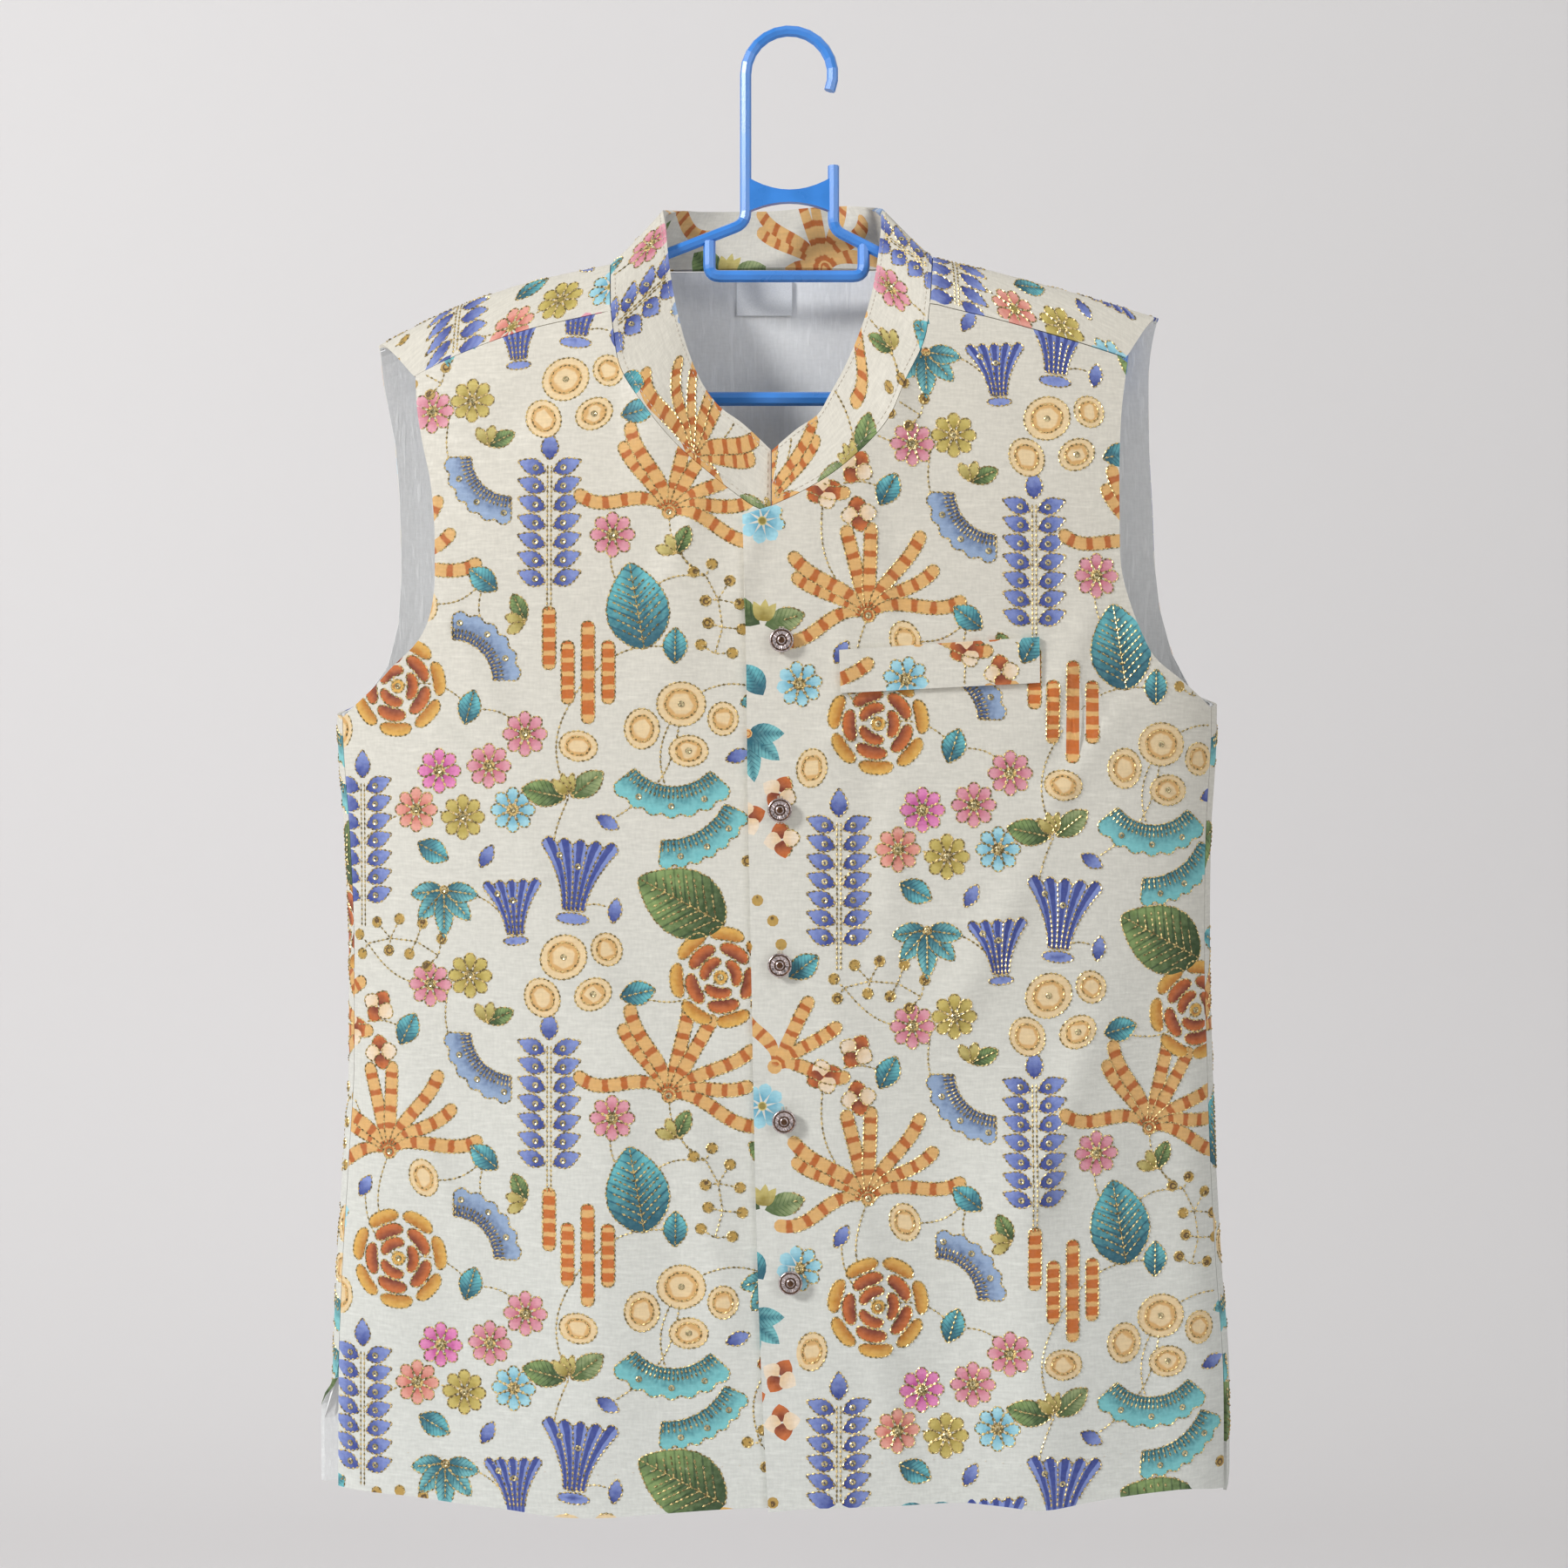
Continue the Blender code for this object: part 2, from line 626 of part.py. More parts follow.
def back_side(side, armhole, seam_top):
    """The back's edge from the hem up: vent flap, side seam and armhole, as far as the ridge."""
    heights = np.linspace(BACK_HEM_SIDE, VENT_TOP, VENT_CELLS + 1)
    low = [(seam_across(z, side, SEAM_GAP), z) for z in heights]
    heights = np.linspace(VENT_TOP, seam_top, SIDE_CELLS + 1)
    high = [(seam_across(z, side, SEAM_GAP), z) for z in heights]
    scoop = [high[-1]] + [tuple(place) for place in back_flat(armhole)]
    length = line_length(scoop)
    turning = np.array(NEAR_SEAM) / length
    level = np.linspace(turning[-1], 1 - NEAR_RIDGE[0] / length, BACK_ARMHOLE_CELLS + 1)
    stations = np.concatenate([turning, level[1:], 1 - np.array(NEAR_RIDGE[1:]) / length])
    return np.concatenate([low, high[1:], along(scoop, stations)[1:]])


def shoulder_turns(tip_x, neck_x):
    """Flat places of a shoulder's columns, from the ridge forward to the seam, a row at a time.

    tip_x and neck_x each hold an x on the seam and one on the ridge. The columns crowd towards the tip.
    """
    shares = np.linspace(0, 1, SHOULDER_COLUMNS + 1) ** 2
    seam_x, ridge_x = [tip + (neck - tip) * shares for tip, neck in zip(tip_x, neck_x)]
    tops = back_flat(np.stack([ridge_x, ridge(ridge_x)], axis=1))
    seams = back_flat(np.stack([seam_x, ridge(seam_x) - SEAM_DROP], axis=1), in_front=True)
    down = np.linspace(0, 1, TURN_CELLS + 1)[:, None, None]
    return tops[None] * (1 - down) + seams[None] * down


def back_turns():
    """Both shoulders' forward parts, with the wearer's right one first."""
    right_tip = (RIGHT_ARMHOLE[-1].x, BACK_ARMHOLE_RIGHT[-1].x)
    left_tip = (LEFT_ARMHOLE[-1].x, BACK_ARMHOLE_LEFT[-1].x)
    right = shoulder_turns(right_tip, (RIGHT_NECK[-1].x, BACK_NECK[0].x))
    left = shoulder_turns(left_tip, (LEFT_NECK[-1].x, BACK_NECK[-1].x))
    return right, left[:, ::-1]


def back_neck_edge():
    return along(back_flat(BACK_NECK), side_crowded(BACK_NECK_COLUMNS + 1))


def back_surface(flat):
    flat = np.asarray(flat, float)
    points = [back_point(across, height) for across, height in flat.reshape(-1, 2)]
    return np.array(points).reshape(*flat.shape[:-1], 3)


def side_crowded(columns):
    return (1 - np.cos(math.pi * np.linspace(0, 1, columns))) / 2


def back_hem(spacing):
    """The back's hem: a little higher behind the front than at the two flaps."""
    across = 2 * spacing - 1
    height = BACK_HEM_MIDDLE + (BACK_HEM_SIDE - BACK_HEM_MIDDLE) * np.abs(across) ** 3
    return np.stack([seam_across(BACK_HEM_SIDE, 1, SEAM_GAP) * across, height], axis=1)


def back_grid():
    """The back's flat places: rows from the hem up to the ridge and neck, then rows forward to the seams."""
    right, left = [turn.copy() for turn in back_turns()]
    right[-1, :, 1] -= SHOULDER_STEP
    left[-1, :, 1] -= SHOULDER_STEP
    right[:, -1, 0] -= RIGHT_NECK_STEP
    left[:, 0, 0] += LEFT_NECK_STEP
    neck = pushed_in(back_neck_edge(), -BACK_NECK_STEP)
    top = np.concatenate([right[0], neck[1:-1], left[0]])
    side_right = back_side(-1, BACK_ARMHOLE_RIGHT, RIGHT_ARMHOLE[0].height)
    side_left = back_side(1, BACK_ARMHOLE_LEFT, LEFT_ARMHOLE[0].height)
    side_right[-1], side_left[-1] = top[0], top[-1]
    spacing = (top[:, 0] - top[0, 0]) / (top[-1, 0] - top[0, 0])
    body = coons(side_right, side_left, back_hem(spacing), top, spacing, lean=3.0)
    unused = np.repeat(neck[None, 1:-1], TURN_CELLS, axis=0)
    forward = np.concatenate([right[1:], unused, left[1:]], axis=1)
    return np.concatenate([body, forward]), len(body) - 1


def build_back(finish):
    flat, ridge_row = back_grid()
    keep = np.ones((flat.shape[0] - 1, flat.shape[1] - 1), bool)
    keep[ridge_row:, SHOULDER_COLUMNS:-SHOULDER_COLUMNS] = False
    return layer_wall("back", back_surface, flat, BACKWARD, 0.0, CLOTH, finish, keep)


def build_lining(finish):
    """The lining lies inside the back, on its grid: to the side's extreme, the armholes and the neck."""
    flat, ridge_row = back_grid()
    flat = flat[: ridge_row + 1]
    keep = np.ones((flat.shape[0] - 1, flat.shape[1] - 1), bool)
    seam_rows = slice(VENT_CELLS, VENT_CELLS + SIDE_CELLS)
    keep[:VENT_CELLS, [0, -1]] = False
    keep[seam_rows, :2] = keep[seam_rows, -2:] = False
    arm_columns = SHOULDER_COLUMNS + 2
    keep[-LINING_CLEAR_ROWS:, 3:arm_columns] = keep[-LINING_CLEAR_ROWS:, -arm_columns:-3] = False
    keep[-1, [0, -1]] = False
    inside = CLOTH + SEAM_GAP
    return layer_wall("back_lining", back_surface, flat, BACKWARD, inside, LINING, finish, keep)


def neck_seam():
    """The collar's foot from the centre front round by the right: three runs of points and normals."""
    neck_right, neck_left = front_neck(RIGHT_NECK), front_neck(LEFT_NECK)[::-1]
    turn_right, turn_left = back_turns()
    over_right, over_left = turn_right[::-1, -1], turn_left[:, 0]
    back_edge = back_neck_edge()
    runs = []
    for pieces in (
        ((under_front, neck_right, FORWARD), (back_surface, over_right, FORWARD)),
        ((back_surface, back_edge, (0, 0, 1)),),
        ((back_surface, over_left, (0, 0, 1)), (over_front, neck_left, FORWARD)),
    ):
        points = [surface(flat)[(1 if k else 0):] for k, (surface, flat, _) in enumerate(pieces)]
        normals = [
            normals_of(surface, flat, towards)[(1 if k else 0):]
            for k, (surface, flat, towards) in enumerate(pieces)
        ]
        runs.append((np.concatenate(points), np.concatenate(normals)))
    return runs


def matched(rim, foot_run):
    """The collar's top edge, with a point for each of its foot's, at the same share of the way."""
    fine = through([tuple(row) for row in rim], 200)
    steps = np.linalg.norm(np.diff(foot_run, axis=0), axis=1)
    share = np.concatenate([[0], np.cumsum(steps)]) / steps.sum()
    return np.stack([np.interp(share, np.linspace(0, 1, 201), fine[:, k]) for k in range(3)], axis=1)


def grid_normals(points, towards):
    """Unit normals of a grid of points, on the side that looks along towards at the first one."""
    normals = np.cross(np.gradient(points, axis=1), np.gradient(points, axis=0))
    normals /= np.linalg.norm(normals, axis=-1, keepdims=True)
    return normals * (1.0 if normals[0, 0] @ np.asarray(towards, float) > 0 else -1.0)


def build_collar(finish):
    (right, right_normals), (back, back_normals), (left, left_normals) = neck_seam()
    foot = np.concatenate([right, back[1:], left[1:]])
    foot_normals = np.concatenate([right_normals, back_normals[1:], left_normals[1:]])
    rims = [matched(RIM_RIGHT, right), matched(RIM_BACK, back)[1:], matched(RIM_LEFT, left)[1:]]
    top = np.concatenate(rims)
    foot[0][0] -= COLLAR_GAP / 2
    foot[-1][0] += COLLAR_GAP / 2
    levels = np.linspace(0, 1, 4)[:, None, None]
    points = foot[None] * (1 - levels) + top[None] * levels
    normals = grid_normals(points, FORWARD)
    normals[0] = foot_normals
    return wall("collar", points, points - normals * BAND, finish)


def build_pocket_welt(finish):
    foot_left, foot_right, top_right, top_left = [np.array(corner) for corner in POCKET_CORNERS]
    u = np.linspace(0, 1, 11)[None, :, None]
    v = np.linspace(0, 1, 4)[:, None, None]
    flat = (foot_left * (1 - u) + foot_right * u) * (1 - v) + (top_left * (1 - u) + top_right * u) * v
    above = -(CLOTH + LAID_GAP)
    return layer_wall("pocket_welt", over_front, flat, FORWARD, above, CLOTH, finish)


def build_label(finish):
    left, right = across_of(LABEL_LEFT, -120.0), across_of(LABEL_LEFT + LABEL_WIDTH, -120.0)
    heights = np.linspace(LABEL_TOP - LABEL_HEIGHT, LABEL_TOP, 5)
    flat = np.array([[(across, z) for across in np.linspace(left, right, 6)] for z in heights])
    inside = CLOTH + SEAM_GAP + LINING + LAID_GAP
    return layer_wall("neck_label", back_surface, flat, BACKWARD, inside, LABEL_WALL, finish)


def button_mesh():
    """A shank, a flared back, a rounded rim and a raised ring and centre, turned about +Z."""
    Turn = namedtuple("Turn", "radius height")
    profile = (
        Turn(0.0, 0.0),
        Turn(1.5, 0.0),
        Turn(1.5, 1.5),
        Turn(3.9, 1.9),
        Turn(BUTTON_RADIUS, 2.6),
        Turn(BUTTON_RADIUS, 3.1),
        Turn(4.4, 3.6),
        Turn(3.3, 3.3),
        Turn(1.7, 3.4),
        Turn(1.4, 3.9),
        Turn(0.0, 4.1),
    )
    shape = bmesh.new()
    verts = [shape.verts.new((row.radius * MM, 0, row.height * MM)) for row in profile]
    edges = [shape.edges.new(pair) for pair in zip(verts, verts[1:])]
    bmesh.ops.spin(
        shape,
        geom=verts + edges,
        cent=(0, 0, 0),
        axis=(0, 0, 1),
        angle=math.tau,
        steps=14,
        use_merge=True,
    )
    bmesh.ops.remove_doubles(shape, verts=shape.verts, dist=1e-6)
    bmesh.ops.recalc_face_normals(shape, faces=shape.faces)
    mesh = bpy.data.meshes.new("button")
    shape.to_mesh(mesh)
    shape.free()
    mesh.shade_smooth()
    mesh.set_sharp_from_angle(angle=math.radians(40))
    return mesh


def build_buttons(finish):
    mesh = button_mesh()
    for number, place in enumerate(BUTTON_PLACES, 1):
        flat = np.array([[place.x, place.height]])
        normal = Vector(normals_of(over_front, flat, FORWARD, BUTTON_REACH)[0])
        middle = Vector(over_front(flat)[0]) + normal * LAID_GAP
        button = bpy.data.objects.new(f"button_{number}", mesh)
        bpy.context.scene.collection.objects.link(button)
        button.location = middle * MM
        button.rotation_euler = normal.to_track_quat("Z", "Y").to_euler()
    mesh.materials.append(finish)


def rounded_route(bends):
    """(x, height, radius share) points along straight runs with each corner rounded to its bend's radius."""
    route = [(bends[0].x, bends[0].height, bends[0].share)]
    for before, bend, after in zip(bends, bends[1:], bends[2:]):
        corner = np.array([bend.x, bend.height])
        back = np.array([before.x, before.height]) - corner
        ahead = np.array([after.x, after.height]) - corner
        back_length, ahead_length = np.linalg.norm(back), np.linalg.norm(ahead)
        turn = math.acos(np.clip(back @ ahead / back_length / ahead_length, -1, 1))
        cut = min(bend.radius / math.tan(turn / 2), 0.49 * back_length, 0.49 * ahead_length)
        start, end = corner + back * cut / back_length, corner + ahead * cut / ahead_length
        for t in np.linspace(0, 1, BEND_STEPS + 1):
            place = start * (1 - t) ** 2 + corner * 2 * t * (1 - t) + end * t * t
            route.append((*place, bend.share))
    route.append((bends[-1].x, bends[-1].height, bends[-1].share))
    return route


def tube(name, route, radius, resolution=2):
    """A rod in the plane y = 0 along (x, height, radius share) points, as a closed mesh."""
    curve = bpy.data.curves.new(name, "CURVE")
    curve.dimensions = "3D"
    curve.bevel_depth = radius * MM
    curve.bevel_resolution = resolution
    curve.use_fill_caps = True
    spline = curve.splines.new("POLY")
    spline.points.add(len(route) - 1)
    for point, (x, height, share) in zip(spline.points, route):
        point.co = (x * MM, 0, height * MM, 1)
        point.radius = share
    guide = bpy.data.objects.new(name, curve)
    bpy.context.scene.collection.objects.link(guide)
    graph = bpy.context.evaluated_depsgraph_get()
    mesh = bpy.data.meshes.new_from_object(guide.evaluated_get(graph))
    bpy.data.objects.remove(guide)
    welded = bmesh.new()
    welded.from_mesh(mesh)
    bmesh.ops.remove_doubles(welded, verts=welded.verts, dist=1e-7)
    bmesh.ops.recalc_face_normals(welded, faces=welded.faces)
    welded.to_mesh(mesh)
    welded.free()
    mesh.name = name
    return mesh


def arm_bends(xs):
    """Places on an arm that lies just under the shoulder's ridge."""
    return [Bend(x, float(ridge(x)) - ARM_SEAT, 30.0, 1.0) for x in xs]


def hanger_route():
    """Over the hook, down the shaft, out along one arm, back along the bar, the other arm and the post."""
    centre = -HOOK_RADIUS + ROD_RADIUS
    turn = np.radians(np.linspace(HOOK_END_DEG, 180, HOOK_STEPS + 1))
    hook = [(HOOK_RADIUS * math.cos(a), centre + HOOK_RADIUS * math.sin(a), 1.0) for a in turn]
    bar = BAR_RADIUS_SHARE
    frame = [
        Bend(SHAFT_X, -40.0, 0.0, 1.0),
        Bend(SHAFT_X, -79.3, 7.0, 1.0),
        Bend(-52.4, -92.5, 30.0, 1.0),
        *arm_bends((-74.0, -92.0, -112.0, -134.0)),
        Bend(-146.0, -123.5, 8.0, 1.0),
        Bend(-141.0, -153.9, 14.0, bar),
        Bend(0.0, -153.9, 5.0, bar),
        Bend(139.0, -153.9, 14.0, bar),
        Bend(143.0, -122.5, 8.0, 1.0),
        *arm_bends((130.0, 108.0, 84.0, 62.0)),
        Bend(42.0, -93.6, 30.0, 1.0),
        Bend(POST_X, -82.0, 7.0, 1.0),
        Bend(POST_X, POST_TOP, 0.0, 1.0),
    ]
    return hook + rounded_route(frame)


def web_mesh():
    """The plate between the shaft and the post, hollowed above and arched below."""
    shape = bmesh.new()
    steps = np.linspace(-1, 1, WEB_STEPS + 1)
    points = []
    for share in steps:
        x = (SHAFT_X + POST_X) / 2 + share * (POST_X - SHAFT_X) / 2
        top = WEB_TOP_MIDDLE + (WEB_TOP_SIDE - WEB_TOP_MIDDLE) * share**2
        foot = WEB_FOOT_MIDDLE + (WEB_FOOT_SIDE - WEB_FOOT_MIDDLE) * share**2
        points.append((x, top, foot))
    edge = [(x, top) for x, top, _ in points] + [(x, foot) for x, _, foot in reversed(points)]
    outline = [shape.verts.new((x * MM, -WEB_HALF_THICKNESS * MM, z * MM)) for x, z in edge]
    face = shape.faces.new(outline)
    raised = bmesh.ops.extrude_face_region(shape, geom=[face])["geom"]
    moved = [item for item in raised if isinstance(item, bmesh.types.BMVert)]
    bmesh.ops.translate(shape, verts=moved, vec=(0, 2 * WEB_HALF_THICKNESS * MM, 0))
    bmesh.ops.triangulate(shape, faces=[face for face in shape.faces if len(face.verts) > 4])
    bmesh.ops.recalc_face_normals(shape, faces=shape.faces)
    mesh = bpy.data.meshes.new("web")
    shape.to_mesh(mesh)
    shape.free()
    return mesh


def build_hanger(finish):
    hanger = add_object("hanger", tube("hanger", hanger_route(), ROD_RADIUS), finish)
    tie = tube("tie_bar", rounded_route(TIE_BAR), TIE_RADIUS)
    for name, mesh in (("web", web_mesh()), ("tie_bar", tie)):
        joined = bpy.data.objects.new(name, mesh)
        bpy.context.scene.collection.objects.link(joined)
        joined.hide_render = True
        joined.display_type = "WIRE"
        union = hanger.modifiers.new(name, "BOOLEAN")
        union.operation = "UNION"
        union.object = joined
    return hanger


def main():
    for old in list(bpy.data.objects):
        bpy.data.objects.remove(old)
    print_cloth = material("printed_silk", (0.74, 0.71, 0.66), 0.5)
    lining_cloth = material("lining_cotton", (0.78, 0.81, 0.86), 0.85)
    label_cloth = material("label_satin", (0.9, 0.9, 0.92), 0.6)
    silver = material("button_silver", (0.72, 0.68, 0.66), 0.3, 1.0)
    plastic = material("hanger_plastic", (0.05, 0.23, 0.68), 0.3)
    build_front_right(print_cloth)
    build_front_left(print_cloth)
    build_back(print_cloth)
    build_collar(print_cloth)
    build_pocket_welt(print_cloth)
    build_lining(lining_cloth)
    build_label(label_cloth)
    build_buttons(silver)
    build_hanger(plastic)


main()
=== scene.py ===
"""The looks of a boy's printed, band-collared sleeveless jacket on its hanger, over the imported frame.

Tables are in millimetres in the frame's own axes: +Z up, the front facing -Y, the origin at the hook's
inner top. A flat place on a panel is x and height on a front, and arc length from the middle and flat
height on the back.
"""

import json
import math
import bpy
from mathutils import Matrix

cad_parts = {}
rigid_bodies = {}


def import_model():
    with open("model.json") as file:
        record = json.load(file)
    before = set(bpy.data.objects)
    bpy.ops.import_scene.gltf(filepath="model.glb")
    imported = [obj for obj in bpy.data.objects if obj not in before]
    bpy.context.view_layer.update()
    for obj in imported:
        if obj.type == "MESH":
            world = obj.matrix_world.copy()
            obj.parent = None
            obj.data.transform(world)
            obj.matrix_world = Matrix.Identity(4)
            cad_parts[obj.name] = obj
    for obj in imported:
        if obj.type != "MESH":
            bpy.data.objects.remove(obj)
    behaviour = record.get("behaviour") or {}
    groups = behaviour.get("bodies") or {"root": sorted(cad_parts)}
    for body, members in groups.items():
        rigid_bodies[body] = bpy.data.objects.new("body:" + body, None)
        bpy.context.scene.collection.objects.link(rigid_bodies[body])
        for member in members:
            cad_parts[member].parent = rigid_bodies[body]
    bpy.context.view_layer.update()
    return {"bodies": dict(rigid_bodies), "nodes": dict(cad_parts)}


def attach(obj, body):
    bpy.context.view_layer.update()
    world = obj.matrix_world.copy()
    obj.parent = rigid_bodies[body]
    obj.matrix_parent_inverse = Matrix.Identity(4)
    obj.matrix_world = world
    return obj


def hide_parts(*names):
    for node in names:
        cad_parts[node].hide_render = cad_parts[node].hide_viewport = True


bl_info = {
    "name": "Printed sleeveless jacket",
    "version": (1, 0, 0),
    "blender": (4, 5, 0),
    "location": "View3D > Sidebar > Jacket",
    "description": "Builds a printed and embroidered sleeveless jacket on a hanger",
    "category": "Add Mesh",
}

from collections import namedtuple

import bmesh
import bpy
import numpy as np
from mathutils import Matrix, Vector
from mathutils.geometry import delaunay_2d_cdt

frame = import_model()
BODY = next(iter(frame["bodies"]))
MM = 0.001

Point = namedtuple("Point", "x height")
Fold = namedtuple("Fold", "x_top top x_foot foot width depth")


def points(*pairs):
    return [Point(*pair) for pair in pairs]


# Cloth
CLOTH = 1.5  # printed silk with its interlining
BAND = 2.2  # two layers of silk round a stiffener
SEAM_GAP = 0.3
LAID_GAP = 0.4  # between a panel and what is sewn on top of it
FRONT_POWER = 2.5  # roundness of the front's cross-section
BACK_POWER = 5.0  # the back is flatter, and turns sharply at the sides
SEAM_REACH = 0.978  # the side seam's place, as a share of the half width
TOP_FALL = 130.0  # how far below the shoulder's ridge the cloth reaches its full depth
SHOULDER_LEVEL = -150.0
SEAM_DROP = 25.0  # the forward shoulder seam's drop below the ridge
VENT_TOP = -562.0
VENT_OPEN = -584.0
FLAP_START = 0.93  # where the vent's flap leaves the round of the side, as a share of the half width
FLAP_SWING = {-1: 1.0, 1: 0.15}  # how far the wearer's right and left flaps swing out
FLAP_OUT, FLAP_FORWARD = 0.72, 0.08  # how far a fully swung flap goes outwards and forwards along its length

# Cross-sections from the hem up: height, left and right extremes, depth to the front and to the back
SECTION_ROWS = (
    (-620, -194, 187, 36, 20), (-560, -193.6, 186.5, 37, 20.5), (-520, -192, 183.5, 38, 21),
    (-475, -189.2, 181, 39, 21.5), (-430, -186.8, 179.5, 39.5, 22), (-390, -186.8, 178.5, 40, 22),
    (-340, -188.6, 179, 40, 22), (-290, -191.8, 181.5, 40, 22), (-150, -190, 176.5, 40, 23),
    (-60, -188, 170, 40, 23),
)
SECTIONS = dict(zip(("height", "left", "right", "front", "back"), np.transpose(SECTION_ROWS)))

# The shoulder's ridge line, seen from the front. It rises past the neck, where the cloth stands deep.
RIDGE = points(
    (-200, -143), (-174.4, -131.2), (-145, -116.7), (-112.4, -105), (-81.4, -98.2), (-75.4, -96.9),
    (-69, -94.8), (-47, -42), (34, -42), (54.5, -91.8), (60.7, -93.9), (86.6, -100), (122, -109.3),
    (156.9, -119.8), (190, -131),
)

# Edges of the pieces, as the front view shows them
RIGHT_ARMHOLE = points(
    (-188, -289.5), (-173.3, -277.8), (-163.9, -268.5), (-153.7, -259.1), (-148.5, -249.8),
    (-146.2, -238), (-146, -220.2), (-148.3, -192.3), (-151.7, -177.7), (-154.7, -162.6),
    (-156.1, -148.6),
)
LEFT_ARMHOLE = points(
    (177.5, -285.5), (163, -274.1), (151, -264.8), (144.9, -254), (140.5, -243), (136.8, -229.5),
    (136.1, -211.5), (136.4, -183.7), (137.9, -162.2), (141.1, -141.6),
)
RIGHT_NECK = points(
    (-7.4, -206.8), (-13.2, -205.2), (-19.2, -201.3), (-35.6, -188.3), (-47.4, -177.5), (-60.6, -160.8),
    (-69.3, -146.1), (-72.6, -129.4), (-73.8, -121.2),
)
LEFT_NECK = points(
    (-7.4, -204.5), (3.1, -199.7), (16.2, -192), (28, -182.3), (39.8, -169), (47.1, -152.6),
    (55.6, -133.7), (58, -118.2),
)
BACK_ARMHOLE_RIGHT = points(
    (-185.5, -283.5), (-174.4, -269.2), (-170.5, -259.2), (-168.8, -246.7), (-167.7, -228),
    (-167.7, -209.2), (-168.7, -184.7), (-170.1, -166.3), (-173.4, -147.9), (-174.4, -131.3),
)
BACK_ARMHOLE_LEFT = points(
    (174.5, -279), (168, -270.3), (164.9, -260.2), (161.1, -247), (158.4, -228.3), (156.8, -199.6),
    (154.9, -165.5), (154.4, -137.6), (156.9, -119.9),
)
BACK_NECK = points(
    (-75.4, -97), (-62, -96.2), (-47, -95.4), (-25, -95.2), (-0.5, -94.8), (18, -95), (35.6, -95.1),
    (49, -94.8), (60.7, -94),
)
UNDERLAP_EDGE = points((10.5, -613), (10.5, -207.5))
FREE_EDGE = points(
    (-8.6, -613.8), (-11.1, -566.2), (-13.5, -494.9), (-15.6, -388.2), (-17, -317.5), (-17.7, -259.2),
    (-19.1, -208.5),
)
RIGHT_HEM = points(
    (-185.2, -612.6), (-161.5, -612.1), (-137, -613.7), (-118.4, -614.8), (-91.1, -617.4), (-73.7, -617),
    (-52.1, -615.2), (-9.4, -612.6), (10.5, -613),
)
LEFT_HEM = points(
    (-8.6, -613.8), (5.9, -612.4), (38.7, -612.2), (68.9, -611.3), (87.1, -613), (103.4, -615),
    (123.6, -612.6), (142, -611.2), (161.4, -610.7), (180.5, -613.5),
)
BACK_HEM_SIDE, BACK_HEM_MIDDLE = -615.5, -610.5

# Soft folds: a line down the cloth, how wide it spreads and how far it stands out (or in, below zero)
FOLD_ROWS = {
    "front": (
        (92, -430, 108, -640, 17, 3.6), (60, -400, 66, -640, 20, -2.4), (-70, -390, -84, -640, 22, 3.2),
        (-136, -380, -142, -640, 20, -2.6), (150, -350, 148, -640, 14, -2),
        (-160, -262, -112, -330, 9, -1.8), (150, -258, 104, -322, 9, -1.8),
        (-84, -128, -128, -186, 10, -1.4), (70, -128, 112, -182, 10, -1.4),
        (-34, -206, -58, -300, 12, 1.4), (16.5, -200, 14.5, -292, 4, -0.7),
        (-158, -280, -104, -336, 5.5, 2), (-150, -236, -112, -300, 5.5, 1.7),
        (-120, -330, -60, -420, 8, 2), (144, -274, 100, -336, 5.5, 2), (128, -236, 100, -300, 5.5, 1.7),
        (104, -340, 56, -430, 8, 2), (-10, -196, -24, -256, 4.5, 1.7), (-30, -186, -56, -248, 5.5, 1.6),
        (28, -190, 42, -262, 5, 1.7), (-160, -440, -124, -530, 7, 2.2), (-44, -420, -22, -570, 9, 2),
        (44, -300, 36, -420, 7, 1.8), (130, -400, 92, -510, 8, 2.2), (26, -470, 46, -620, 8, 2),
        (10, -304, 36, -288, 4.5, 1.2), (10, -360, 38, -378, 4.5, 1.2), (-8, -438, -38, -418, 5.5, 1.3),
    ),
    "back": (
        (-96, -300, -104, -640, 26, 3.4), (-30, -340, -24, -640, 22, -2.6), (52, -280, 66, -640, 28, 3),
        (120, -360, 130, -640, 20, -2.2), (-128, -160, -70, -215, 14, -1.6),
        (112, -150, 58, -205, 14, -1.6), (-140, -250, -70, -330, 9, 1.8), (136, -250, 72, -340, 9, 1.8),
    ),
}
FOLDS = {face: [Fold(*row) for row in rows] for face, rows in FOLD_ROWS.items()}
FOLD_EASE = 0.3  # share of a fold's length over which it fades in
SIDE_EASE = 0.12  # share of the half width over which folds fade out towards the sides

# Front closing
OVERLAP_LIFT = 2.1  # the left front lies on the right one: its cloth and a small gap
OVERLAP_FULL, OVERLAP_END = 16.0, 38.0  # where the lift is whole, and where it has faded out
BUTTON_PLACES = points((-3.2, -259.4), (-3.9, -328), (-3.9, -390.6), (-2.2, -453.8), (0.4, -519.2))
BUTTON_RADIUS = 4.9
BUTTON_REACH = 2.0  # the cloth's slope under a button is taken over this distance each way
POCKET_CORNERS = points((20.6, -280.7), (102, -276.2), (101.6, -257.5), (20.1, -263.2))
BARE_STRIP = 15.5  # width of the unembroidered strip along the left front's free edge

